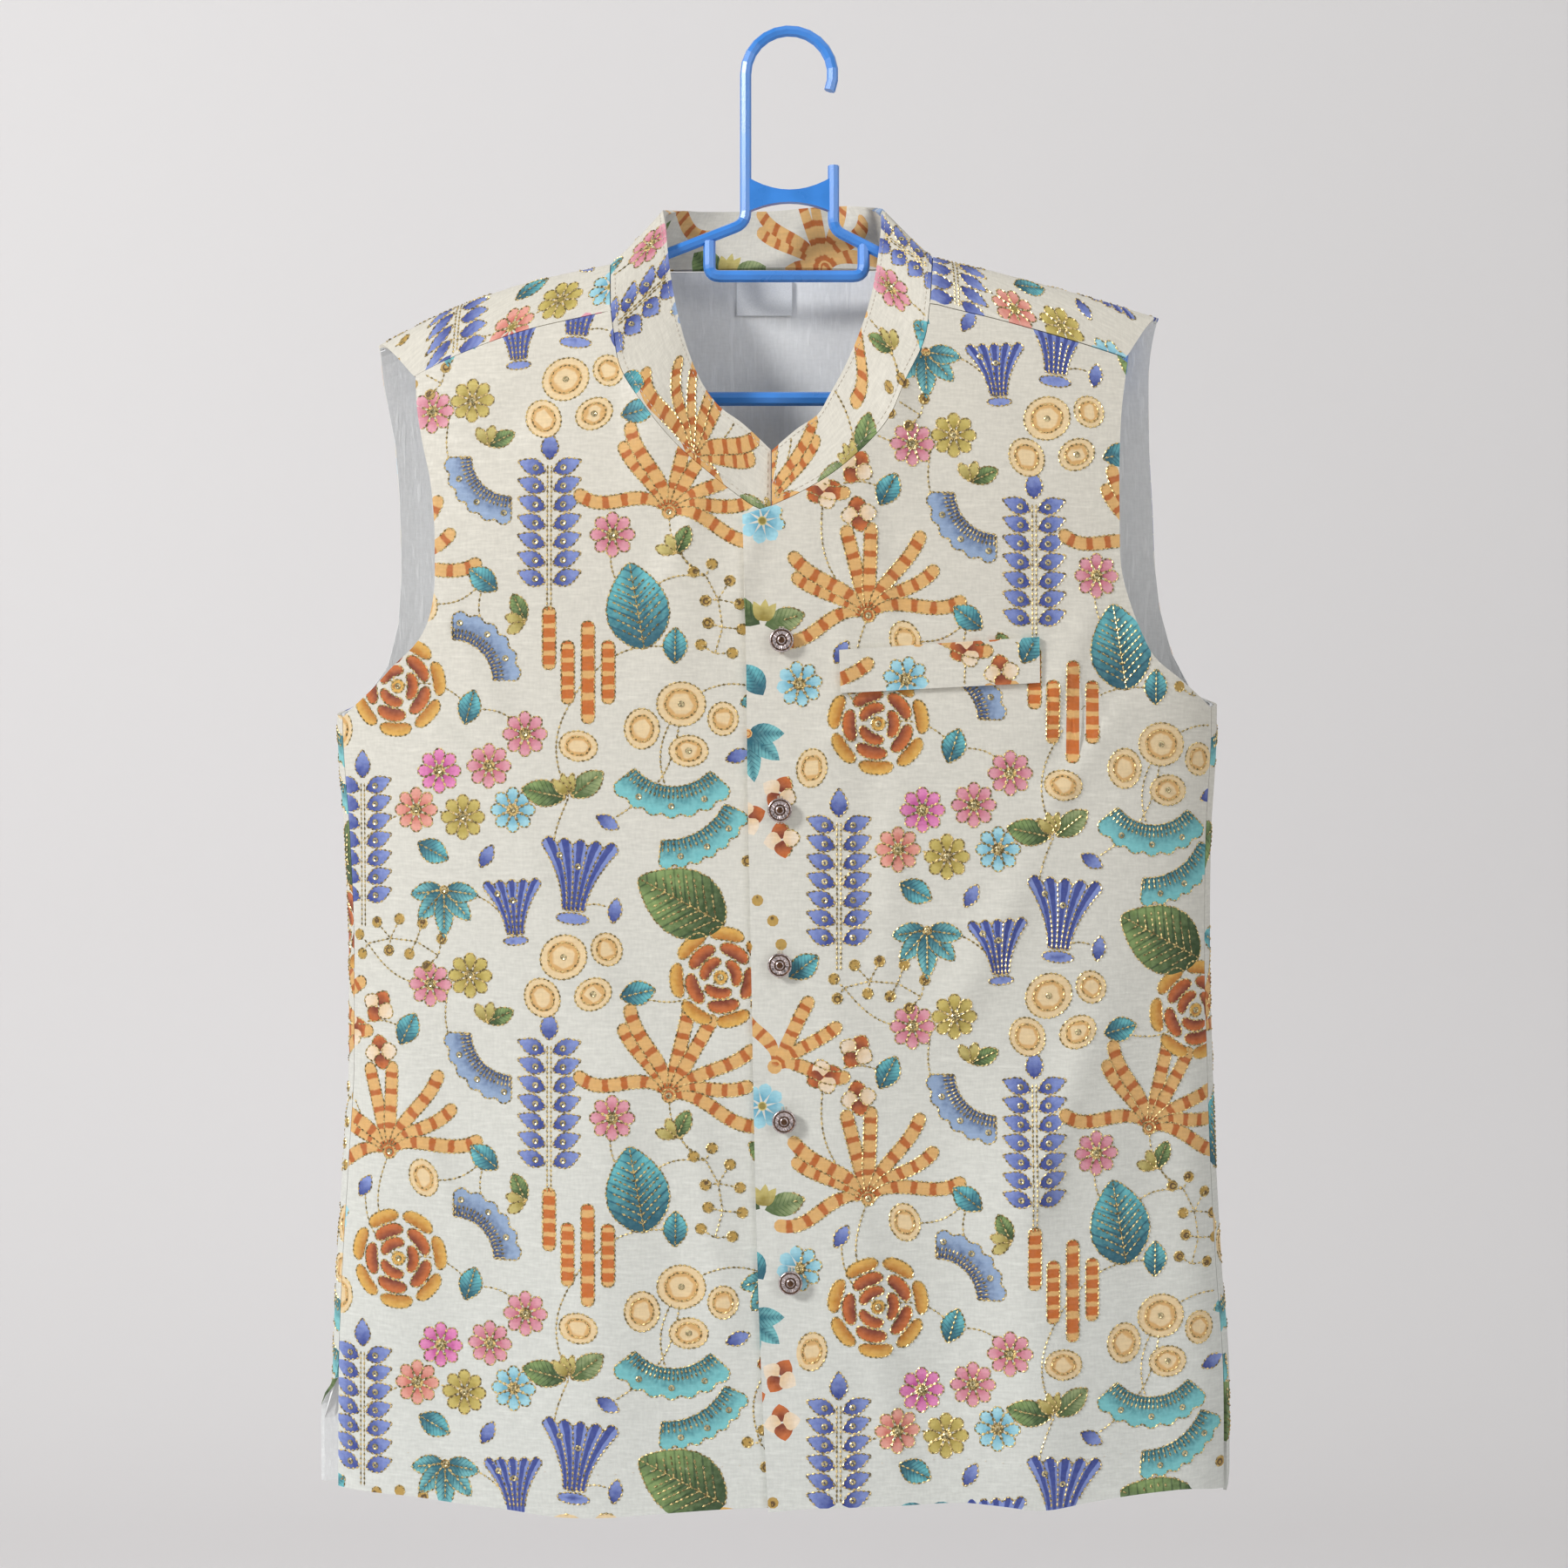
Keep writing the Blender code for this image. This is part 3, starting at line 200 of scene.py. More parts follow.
# Collar's top edge as x, depth and height, from the centre front round the wearer's right side to the back
RIM_RIGHT = (
    (-7.6, -32, -180.5), (-19.4, -30.5, -169.3), (-28.9, -28.5, -162), (-36, -26.5, -152.1),
    (-41.9, -23, -138), (-47.2, -18, -118.1), (-50.5, -11, -98.4), (-52.4, -3, -81.9), (-54, 5, -72.4),
)
RIM_BACK = (
    (-54, 5, -72.4), (-49.5, 16.5, -69.5), (-37.8, 23, -68.9), (-20.5, 27, -68.3), (-7.3, 28, -67.9),
    (8.9, 27.5, -66.5), (25.1, 23.5, -66.2), (36, 15.5, -68.4), (39.8, 5, -71.8),
)
RIM_LEFT = (
    (39.8, 5, -71.8), (38.2, -4, -88.6), (34.8, -13, -110.5), (29.6, -20.5, -128.7),
    (23.5, -25.5, -143.8), (16.4, -28.8, -157.5), (11.6, -30.8, -165.8), (3.2, -33.2, -172),
    (-7.2, -34.2, -181.1),
)
RIM_CELLS = 200
COLLAR_HEIGHT = 24.0
COLLAR_GAP = 0.5  # between the collar's two ends

# The photograph's view, at the garment's middle
CAMERA_X, CAMERA_HEIGHT, FRAME_WIDTH = -2.22, -317.46, 666.0

FORWARD, BACKWARD = (0, -1, 0), (0, 1, 0)


def smooth_value(xs, ys, x):
    """A smooth curve through (xs, ys), read at x: cubic pieces with averaged slopes."""
    xs, ys, x = np.asarray(xs, float), np.asarray(ys, float), np.asarray(x, float)
    steps = np.diff(ys) / np.diff(xs)
    slopes = np.concatenate([steps[:1], (steps[:-1] + steps[1:]) / 2, steps[-1:]])
    flat = np.concatenate([[False], steps[:-1] * steps[1:] <= 0, [False]])
    slopes[flat] = 0
    x = np.clip(x, xs[0], xs[-1])
    i = np.clip(np.searchsorted(xs, x) - 1, 0, len(xs) - 2)
    width = xs[i + 1] - xs[i]
    t = (x - xs[i]) / width
    return (
        ys[i] * (1 + 2 * t) * (1 - t) ** 2
        + slopes[i] * width * t * (1 - t) ** 2
        + ys[i + 1] * t * t * (3 - 2 * t)
        + slopes[i + 1] * width * t * t * (t - 1)
    )


def ease(value):
    value = np.clip(value, 0.0, 1.0)
    return value * value * (3 - 2 * value)


def added_up(steps):
    return np.concatenate([[0], np.cumsum(steps)])


def reaches(line):
    """How far along a line each of its points lies."""
    return added_up(np.linalg.norm(np.diff(line, axis=0), axis=1))


def read_off(places, reach, rows):
    """A table's rows at some places between its reaches."""
    return np.stack([np.interp(places, reach, values) for values in np.transpose(rows)], axis=-1)


def through(line, cells):
    """A smooth curve through some points, as cells + 1 points evenly spaced along it."""
    line = np.asarray(line, float)
    reach = reaches(line)
    fine = np.linspace(0, reach[-1], 16 * len(line))
    curve = np.stack([smooth_value(reach, values, fine) for values in line.T], axis=1)
    reach = reaches(curve)
    return read_off(np.linspace(0, 1, cells + 1) * reach[-1], reach, curve)


def complex_of(flat):
    return flat[..., 0] + 1j * flat[..., 1]


def pair_of(numbers):
    return np.stack([numbers.real, numbers.imag], axis=-1)


# The body's form: cross-sections down the garment, and one rounded fall from the shoulder's ridge


def section(height, name):
    return smooth_value(SECTIONS["height"], SECTIONS[name], height)


def ridge(x):
    return smooth_value(*np.transpose(RIDGE), x)


def middle_and_half(height):
    left, right = section(height, "left"), section(height, "right")
    return (left + right) / 2, (right - left) / 2


def front_depth(x, height):
    middle, half = middle_and_half(height)
    share = np.clip(np.abs(x - middle) / half, 0, 1)
    return section(height, "front") * (1 - share**FRONT_POWER) ** 0.5


def fold_depth(face, x, height):
    total = np.zeros_like(np.asarray(x, float))
    for fold in FOLDS[face]:
        run = np.array([fold.x_foot - fold.x_top, fold.foot - fold.top])
        length = np.hypot(*run)
        down = ((x - fold.x_top) * run[0] + (height - fold.top) * run[1]) / length**2
        across = ((x - fold.x_top) * run[1] - (height - fold.top) * run[0]) / length
        fade = ease(down / FOLD_EASE) * ease((1 - down) / FOLD_EASE)
        total += fold.depth * fade * np.exp(-((across / fold.width) ** 2))
    return total


def calm_sides(x, middle, half):
    """How far folds show at x: in full over the middle, and not at all at the sides."""
    return ease((1 - np.abs(x - middle) / half) / SIDE_EASE)


def front_surface(x, height, lift=0.0):
    """The outer face of a front, over (x, height) of the front view."""
    fall = np.clip((ridge(x) - height) / TOP_FALL, 0, 1)
    rounded = (1 - (1 - fall) ** 2) ** 0.5
    calm = calm_sides(x, *middle_and_half(height)) * ease((fall - 0.2) / 0.3)
    depth = front_depth(x, height) * rounded + fold_depth("front", x, height) * calm
    depth = depth + lift * ease((OVERLAP_END - x) / (OVERLAP_END - OVERLAP_FULL))
    return np.stack([x, -depth, height], axis=-1)


def under_front(flat):
    return front_surface(flat[..., 0], flat[..., 1])


def over_front(flat):
    return front_surface(flat[..., 0], flat[..., 1], OVERLAP_LIFT)


# The rounded fall, from its foot on the back over the ridge to the front: angles, and arc length to each
FALL_ANGLES = np.radians(np.linspace(90, -60, 301))
# Shares of the half width across the back: out to the side's extreme, then in to the side seam
OUTWARD = np.concatenate([np.linspace(0, 0.9, 40), 1 - 0.1 * np.linspace(1, 0, 60)[1:] ** 2])
INWARD = 1 - (1 - SEAM_REACH) * np.linspace(0, 1, 30)[1:] ** 2
EXTREME = len(OUTWARD)


def fall_lengths():
    back, front = section(SHOULDER_LEVEL, "back"), 0.8 * section(SHOULDER_LEVEL, "front")
    radius = np.where(FALL_ANGLES > 0, back, front)
    speed = np.hypot(TOP_FALL * np.sin(FALL_ANGLES), radius * np.cos(FALL_ANGLES))
    return added_up((speed[1:] + speed[:-1]) / 2 * -np.diff(FALL_ANGLES))


def across_table(height):
    """Arc length, x and depth across the back, from its middle to the side's extreme and on to the seam."""
    x = float(middle_and_half(height)[1]) * np.concatenate([OUTWARD, INWARD])
    back = float(section(height, "back")) * (1 - OUTWARD**BACK_POWER) ** 0.5
    front = float(section(height, "front")) * (1 - INWARD**FRONT_POWER) ** 0.5
    depth = np.concatenate([back, -front])
    return added_up(np.hypot(np.diff(x), np.diff(depth))), x, depth


FALL_LENGTHS = fall_lengths()


def over_ridge(x, height, in_front=False):
    """The flat height of a place on the back panel, which counts on over the ridge to the front."""
    x, height = np.asarray(x, float), np.asarray(height, float)
    fall = np.clip((ridge(x) - height) / TOP_FALL, 0, 1)
    angle = np.arccos(1 - fall) * (-1 if in_front else 1)
    arc = np.interp(-angle, -FALL_ANGLES, FALL_LENGTHS)
    return np.where(fall < 1, ridge(x) - TOP_FALL + arc, height)


SIDE_HEIGHTS = np.linspace(-620.0, -120.0, 101)
SIDE_SAMPLES = 400


def side_tables():
    """across_table at each of SIDE_HEIGHTS, read at even shares of its length, for many places at once."""
    singles, xs, depths = [], [], []
    for height in SIDE_HEIGHTS:
        lengths, x, depth = across_table(height)
        shares = np.linspace(0, lengths[-1], SIDE_SAMPLES)
        leave = np.interp(FLAP_START * x.max(), x[:EXTREME], lengths[:EXTREME])
        singles.append((lengths[-1], x.max(), leave, np.interp(leave, lengths, depth)))
        xs.append(np.interp(shares, lengths, x))
        depths.append(np.interp(shares, lengths, depth))
    return np.array(singles), np.array(xs), np.array(depths)


SIDE_SINGLES, SIDE_X, SIDE_DEPTH = side_tables()


def back_surface(flat):
    """The outer face of the back panel, from flat places: arc length from the middle, and flat height."""
    flat = np.asarray(flat, float)
    across, flat_height = flat[..., 0], flat[..., 1]
    height = np.minimum(flat_height, SIDE_HEIGHTS[-1])
    level = (height - SIDE_HEIGHTS[0]) / (SIDE_HEIGHTS[1] - SIDE_HEIGHTS[0])
    level = np.clip(level, 0, len(SIDE_HEIGHTS) - 1.001)
    row = level.astype(int)
    mix = level - row
    singles = [values[row] * (1 - mix) + values[row + 1] * mix for values in SIDE_SINGLES.T]
    total, half, leave, leave_depth = singles
    reach = np.abs(across)
    share = np.clip(reach / total, 0, 1) * (SIDE_SAMPLES - 1)
    column = np.minimum(share.astype(int), SIDE_SAMPLES - 2)
    part = share - column

    def read(table):
        low = table[row, column] * (1 - part) + table[row, column + 1] * part
        high = table[row + 1, column] * (1 - part) + table[row + 1, column + 1] * part
        return low * (1 - mix) + high * mix

    x, depth = read(SIDE_X), read(SIDE_DEPTH)
    out = reach - leave
    swing = np.where(across < 0, FLAP_SWING[-1], FLAP_SWING[1])
    opened = ease((VENT_TOP - height) / (VENT_TOP - VENT_OPEN)) * swing * (out > 0)
    x = x + (FLAP_START * half + FLAP_OUT * out - x) * opened
    depth = depth + (leave_depth - FLAP_FORWARD * out - depth) * opened
    middle = middle_and_half(height)[0]
    x = middle + np.copysign(x, across)
    foot = ridge(x) - TOP_FALL
    over = flat_height > foot
    angle = np.interp(flat_height - foot, FALL_LENGTHS, FALL_ANGLES)
    z = np.where(over, foot + TOP_FALL * np.cos(angle), flat_height)
    shape = np.where(over, np.sin(angle), 1.0)
    depth = np.where(shape < 0, front_depth(x, z), depth)
    calm = calm_sides(x, middle, half) * ease((shape - 0.5) / 0.4)
    return np.stack([x, depth * shape + fold_depth("back", x, z) * calm, z], axis=-1)


def across_of(x, height):
    """Arc length across the back of a place given by its front-view x."""
    height = min(height, SIDE_HEIGHTS[-1])
    lengths, xs, _ = across_table(height)
    offset = x - float(middle_and_half(height)[0])
    return math.copysign(float(np.interp(abs(offset), xs[:EXTREME], lengths[:EXTREME])), offset)


def seam_across(height, side, gap=0.0):
    return side * (float(across_table(height)[0][-1]) - gap)


def normals_of(surface, flat, towards, step=0.4):
    """A surface's unit normals at flat places, on the side that looks along towards at the first one."""
    u = surface(flat + (step, 0)) - surface(flat - (step, 0))
    v = surface(flat + (0, step)) - surface(flat - (0, step))
    normals = np.cross(u, v)
    normals /= np.linalg.norm(normals, axis=-1, keepdims=True)
    first = normals.reshape(-1, 3)[0]
    return normals * (1.0 if first @ np.asarray(towards, float) > 0 else -1.0)


def pushed_in(edge, by):
    """An edge of (x, height) points moved to its left by a distance."""
    direction = np.gradient(edge, axis=0)
    direction /= np.linalg.norm(direction, axis=1)[:, None]
    return edge + by * np.stack([-direction[:, 1], direction[:, 0]], axis=1)


def shoulder_seam(x_from, x_to, cells):
    x = np.linspace(x_from, x_to, cells + 1)
    return np.stack([x, ridge(x) - SEAM_DROP], axis=1)


def seam_side(side, heights):
    middle, half = middle_and_half(heights)
    return np.stack([middle + side * SEAM_REACH * half, heights], axis=1)


def back_flat(edge, in_front=False):
    """Front-view (x, height) places of the back panel, as flat (across, height) places."""
    return np.array([(across_of(x, z), float(over_ridge(x, z, in_front))) for x, z in edge])


def matched(rim, foot_run):
    """The collar's top edge, with a point for each of its foot's, at the same share of the way."""
    reach = reaches(foot_run)
    return read_off(reach / reach[-1], np.linspace(0, 1, RIM_CELLS + 1), through(rim, RIM_CELLS))


# Outlines of the cut panels, as closed loops of flat places that run anticlockwise

EDGE_CELLS = {"hem": 36, "side": 60, "armhole": 48, "neck": 44, "seam": 24, "turn": 12}


def front_outer(side, armhole):
    """A front's outer edge from the hem up: side seam, then armhole."""
    foot = RIGHT_HEM[0].height if side < 0 else LEFT_HEM[-1].height
    line = seam_side(side, np.linspace(foot, armhole[0].height, EDGE_CELLS["side"] + 1))
    return np.concatenate([line, through([line[-1], *armhole[1:]], EDGE_CELLS["armhole"])[1:]])


def front_neck(neck):
    return through(neck, EDGE_CELLS["neck"])


def right_front_outline():
    outer = front_outer(-1, RIGHT_ARMHOLE)
    neck = pushed_in(front_neck(RIGHT_NECK), SEAM_GAP)
    hem = through([outer[0], *RIGHT_HEM[1:]], EDGE_CELLS["hem"])
    top = shoulder_seam(neck[-1][0], outer[-1][0], EDGE_CELLS["seam"])
    return np.concatenate([hem, [UNDERLAP_EDGE[1]], neck, top[1:], outer[-2:0:-1]])


def left_front_outline():
    outer = front_outer(1, LEFT_ARMHOLE)
    neck = pushed_in(front_neck(LEFT_NECK), -SEAM_GAP)
    free = through(FREE_EDGE, EDGE_CELLS["side"])
    hem = through([*LEFT_HEM[:-1], outer[0]], EDGE_CELLS["hem"])
    top = shoulder_seam(outer[-1][0], neck[-1][0], EDGE_CELLS["seam"])
    return np.concatenate([hem, outer[1:], top[1:], neck[-2::-1], free[-1:0:-1]])


def shoulder_turn(tip_x, neck_x):
    """One shoulder of the back from its ridge forward to the seam: flat places, a row at a time."""
    shares = np.linspace(0, 1, EDGE_CELLS["seam"] + 1)
    seam_x, ridge_x = [tip + (neck - tip) * shares for tip, neck in zip(tip_x, neck_x)]
    tops = back_flat(np.stack([ridge_x, ridge(ridge_x)], axis=1))
    seams = back_flat(np.stack([seam_x, ridge(seam_x) - SEAM_DROP], axis=1), in_front=True)
    down = np.linspace(0, 1, EDGE_CELLS["turn"] + 1)[:, None, None]
    return tops[None] * (1 - down) + seams[None] * down


def shoulder_turns():
    right, left = [
        shoulder_turn((arm[-1].x, back_arm[-1].x), (neck[-1].x, BACK_NECK[end].x))
        for arm, back_arm, neck, end in (
            (RIGHT_ARMHOLE, BACK_ARMHOLE_RIGHT, RIGHT_NECK, 0),
            (LEFT_ARMHOLE, BACK_ARMHOLE_LEFT, LEFT_NECK, -1),
        )
    ]
    return right, left[:, ::-1]


def back_neck_edge():
    return through(back_flat(BACK_NECK), EDGE_CELLS["neck"])


def back_side(side, armhole, seam_top):
    """The back's edge from the hem up: vent flap, side seam and armhole, as far as the ridge."""
    heights = np.linspace(BACK_HEM_SIDE, seam_top, EDGE_CELLS["side"] + 1)
    line = np.array([(seam_across(z, side, SEAM_GAP), z) for z in heights])
    return np.concatenate([line, through([line[-1], *back_flat(armhole)], EDGE_CELLS["armhole"])[1:]])


def back_outline():
    right, left = shoulder_turns()
    across = np.linspace(-1, 1, EDGE_CELLS["hem"] + 1)
    height = BACK_HEM_MIDDLE + (BACK_HEM_SIDE - BACK_HEM_MIDDLE) * np.abs(across) ** 3
    hem = np.stack([seam_across(BACK_HEM_SIDE, 1, SEAM_GAP) * across, height], axis=1)
    side_left = back_side(1, BACK_ARMHOLE_LEFT, LEFT_ARMHOLE[0].height)
    side_right = back_side(-1, BACK_ARMHOLE_RIGHT, RIGHT_ARMHOLE[0].height)
    wide_gap = 1.5 * SEAM_GAP
    neck = pushed_in(back_neck_edge(), -wide_gap)[-2:0:-1]
    gap, drop = np.array([wide_gap, 0]), np.array([0, wide_gap])
    turn_left = (left[:-1, -1], left[-1, ::-1] - drop, left[-2::-1, 0] + gap)
    turn_right = (right[:-1, -1] - gap, right[-1, ::-1] - drop, right[-2:0:-1, 0])
    return np.concatenate([hem[:-1], side_left[:-1], *turn_left, neck, *turn_right, side_right[:0:-1]])


def collar_edges():
    """The collar's foot and its top edge, from the centre front round the wearer's right side."""
    neck_right, neck_left = front_neck(RIGHT_NECK), front_neck(LEFT_NECK)[::-1]
    turn_right, turn_left = shoulder_turns()
    runs = (
        (RIM_RIGHT, under_front(neck_right), back_surface(turn_right[::-1, -1])),
        (RIM_BACK, back_surface(back_neck_edge())),
        (RIM_LEFT, back_surface(turn_left[:, 0]), over_front(neck_left)),
    )
    foot, top = [], []
    for rim, first, *rest in runs:
        run = np.concatenate([first, *[piece[1:] for piece in rest]])
        skip = 1 if foot else 0
        foot.append(run[skip:])
        top.append(matched(rim, run)[skip:])
    foot, top = np.concatenate(foot), np.concatenate(top)
    foot[0][0] -= COLLAR_GAP / 2
    foot[-1][0] += COLLAR_GAP / 2
    return foot, top


COLLAR_FOOT, COLLAR_TOP = collar_edges()
COLLAR_STATIONS = reaches(COLLAR_FOOT)


def collar_surface(flat):
    """The outer face of the collar, from flat places: distance along the foot, and distance up from it."""
    rise = flat[..., 1, None] / COLLAR_HEIGHT
    foot, top = [read_off(flat[..., 0], COLLAR_STATIONS, edge) for edge in (COLLAR_FOOT, COLLAR_TOP)]
    return foot * (1 - rise) + top * rise


def collar_outline():
    foot = np.stack([COLLAR_STATIONS, np.zeros(len(COLLAR_STATIONS))], axis=1)
    return np.concatenate([foot, foot[::-1] + (0, COLLAR_HEIGHT)])


def welt_surface(flat):
    """The welt lies on the wearer's left front, clear of it by a small gap."""
    return over_front(flat) + normals_of(over_front, flat, FORWARD) * (CLOTH + LAID_GAP)


def welt_outline():
    corners = POCKET_CORNERS
    return np.concatenate([through(pair, 12)[:-1] for pair in zip(corners, corners[1:] + corners[:1])])


# The print: an allover of ordinary flowers and leaves, drawn as complex numbers, x + height * 1j


def srgb(red, green, blue):
    """A linear colour from one given as on a screen, 0 to 255."""
    steps = [value / 255 for value in (red, green, blue)]
    return tuple(((v + 0.055) / 1.055) ** 2.4 if v > 0.04045 else v / 12.92 for v in steps)


Tint = namedtuple("Tint", "deep pale")
TINT_ROWS = {
    "teal": ((8, 92, 112), (104, 198, 206)), "sea": ((6, 94, 112), (122, 202, 206)),
    "periwinkle": ((46, 66, 150), (132, 150, 214)), "slate": ((36, 66, 120), (150, 174, 208)),
    "rust": ((128, 44, 6), (204, 104, 32)), "ochre": ((190, 118, 22), (228, 176, 80)),
    "orange": ((190, 98, 20), (228, 178, 108)), "amber": ((230, 180, 110), (204, 104, 16)),
    "peach": ((224, 176, 108), (240, 212, 164)), "cream": ((238, 206, 164), (246, 228, 204)),
    "green": ((38, 70, 18), (138, 166, 96)), "moss": ((78, 104, 50), (164, 178, 122)),
    "olive": ((150, 132, 50), (206, 190, 112)), "magenta": ((196, 70, 150), (238, 140, 196)),
    "rose": ((196, 92, 118), (232, 160, 176)), "salmon": ((208, 104, 92), (238, 166, 150)),
    "mustard": ((160, 138, 44), (208, 188, 100)), "sky": ((92, 168, 196), (168, 222, 236)),
    "bronze": ((96, 66, 16), (190, 152, 70)),
}
TINTS = {name: Tint(srgb(*deep), srgb(*pale)) for name, (deep, pale) in TINT_ROWS.items()}
GRADED, VEINED, BANDED, RIBBED, RINGED, FRINGED = range(6)  # the six ways a patch is shaded
Patch = namedtuple("Patch", "outline tint style place")
Drawing = namedtuple("Drawing", "patches threads sequins")


def turn_by(degrees):
    return complex(np.exp(1j * math.radians(degrees)))


def axis_place(foot, turn, length, width):
    """How far along an axis from its foot a point lies, and how far to its side, as shares."""

    def place(points):
        local = (points - foot) / turn
        return local.real / length, local.imag / (width / 2)

    return place


def blade(length, half, foot, turn):
    """The outline of a long shape, from its half widths at even steps along its axis."""
    t = np.linspace(0, 1, len(half))
    edge = np.concatenate([t * length - 1j * half, (t * length + 1j * half)[-2:0:-1]])
    return foot + edge * turn


def petal(length, width, foot=0, degrees=0.0, tint="teal", style=GRADED, blunt=1.0, steps=7, tip=0.8):
    """A petal or leaf. blunt above 1 is widest past its middle, and a higher tip makes its ends sharper."""
    half = width / 2 * np.sin(math.pi * np.linspace(0, 1, steps + 1) ** blunt).clip(0) ** tip
    turn = turn_by(degrees)
    return Patch(blade(length, half, foot, turn), tint, style, axis_place(foot, turn, length, width))


def disc(radius, centre=0, tint="bronze", style=RINGED, steps=12, squash=1.0):
    angles = np.linspace(0, math.tau, steps + 1)[:-1]
    outline = centre + radius * (np.cos(angles) + 1j * squash * np.sin(angles))

    def place(points):
        offset = points - centre
        return np.abs(offset.real + 1j * offset.imag / squash) / radius, np.angle(offset) / math.pi

    return Patch(outline, tint, style, place)


def closed(patch):
    return np.append(patch.outline, patch.outline[0])


def drawing(patches, threads=(), sequins=()):
    """A motif, whose patches are all outlined in thread."""
    return Drawing(patches, [closed(patch) for patch in patches] + list(threads), sequins)


def arched(radius, width, degrees, half_degrees, tint):
    """A petal bent round the middle of a flower."""
    t = np.linspace(-1, 1, 11)
    half = width / 2 * (1 - np.abs(t) ** 3.5).clip(0) ** 0.5
    bow = np.exp(1j * np.radians(degrees + half_degrees * t))
    outline = np.concatenate([(radius + half) * bow, ((radius - half) * bow)[-2:0:-1]])

    def place(points):
        return (np.abs(points) - radius) / width + 0.5, np.angle(points / turn_by(degrees))

    return Patch(outline, tint, GRADED, place)


def rosette():
    patches = []
    for radius, width, count, turn, tint in (
        (18.0, 5.4, 7, 10, "ochre"),
        (12.0, 5.4, 5, 40, "rust"),
        (6.6, 4.6, 3, 0, "rust"),
    ):
        half_degrees = 180 / count - 38 / radius
        patches += [arched(radius, width, turn + 360 / count * k, half_degrees, tint) for k in range(count)]
    return drawing(patches + [disc(3.0, 0, "ochre")], sequins=[0])


def daisy(centre, tint):
    petals = [
        petal(8.2, 5.3, centre + 1.2 * turn_by(a), a, tint, blunt=1.9, steps=8, tip=0.7)
        for a in range(0, 360, 45)
    ]
    return petals + [disc(1.9, centre, "olive", steps=8)]


def daisies(*spots):
    patches = sum([daisy(centre, tint) for centre, tint in spots], [])
    return drawing(patches, sequins=[centre for centre, _ in spots])


def spike():
    patches, sequins = [petal(12, 7.4, 26j, 90, "periwinkle", blunt=0.8, tip=1.0)], []
    for level in range(7):
        foot = 1j * (20.5 - 7.6 * level)
        for degrees in (22, 158):
            leaf_foot = foot + 1.6 * turn_by(degrees)
            patches.append(petal(12.8, 7.0, leaf_foot, degrees, "periwinkle", blunt=0.82, tip=1.1))
            sequins.append(foot + 6.2 * turn_by(degrees))
    stem = [np.array([offset + 24j, offset - 36j]) for offset in (-0.8, 0.8)]
    return drawing(patches, stem, sequins)


def fan(tint="sea", inner=20.0, outer=33.0, start=200, end=300, lobes=7):
    """A part of a ring with a scalloped outer edge and a fringe stitched over its inner half."""
    angles = np.radians(np.linspace(start, end, 6 * lobes + 1))
    scallop = outer - 2.2 + 2.2 * np.abs(np.sin(np.linspace(0, lobes * math.pi, 6 * lobes + 1)))
    bow = np.exp(1j * angles)
    outline = np.concatenate([scallop * bow, inner * bow[::-3]])
    sequins = [(outer - 5) * bow[k] for k in range(9, len(bow), 12)]
    fringe = [
        np.array([inner + 0.5, inner + 0.42 * (outer - inner)]) * np.exp(1j * a)
        for a in np.radians(np.arange(start + 2, end, 4.5))
    ]
    centre = (inner + outer) / 2 * np.exp(1j * np.radians((start + end) / 2))

    def place(points):
        offset = points + centre
        return (np.abs(offset) - inner) / (outer - inner), np.angle(offset * 1j) * inner

    fringe = [line - centre for line in fringe]
    patch = Patch(outline - centre, tint, FRINGED, place)
    return drawing([patch], fringe, [spot - centre for spot in sequins])


def finger(foot, degrees, bend, length, width=5.4, tint="orange"):
    """A banded strip that bends along its length and ends round."""
    s = np.linspace(0, 1, 15)
    heading = np.exp(1j * np.radians(degrees + bend * np.sin(s * math.pi * 0.9)))
    middle = foot + np.concatenate([[0], np.cumsum(heading[1:]) * length / 14])
    half = width / 2 * (0.55 + 0.45 * ease(s * 3))
    tip = middle[-1] + heading[-1] * half[-1] * np.exp(1j * np.radians([-60, -20, 20, 60]))
    outline = np.concatenate([middle - 1j * heading * half, tip, (middle + 1j * heading * half)[::-1]])

    def place(points):
        nearest = np.abs(points[:, None] - middle[None]).argmin(axis=1)
        local = (points - middle[nearest]) / heading[nearest]
        return s[nearest] + local.real / length, local.imag / (width / 2)

    return Patch(outline, tint, BANDED, place)


def frond(count=8, spread=136.0, length=34.0):
    """Banded twigs that leave one point and curl outwards."""
    fingers = []
    for share in np.linspace(-1, 1, count):
        degrees = 90 - share * spread / 2
        reach = length * (1 - 0.1 * math.cos(share * 9))
        bend = -44 * share - 8 if len(fingers) % 2 else -60 * share + 6
        fingers.append(finger(2 * turn_by(degrees), degrees + 14 * share, bend, reach))
    return drawing(fingers + [disc(3.0, 0, "orange", steps=10)], sequins=[0])


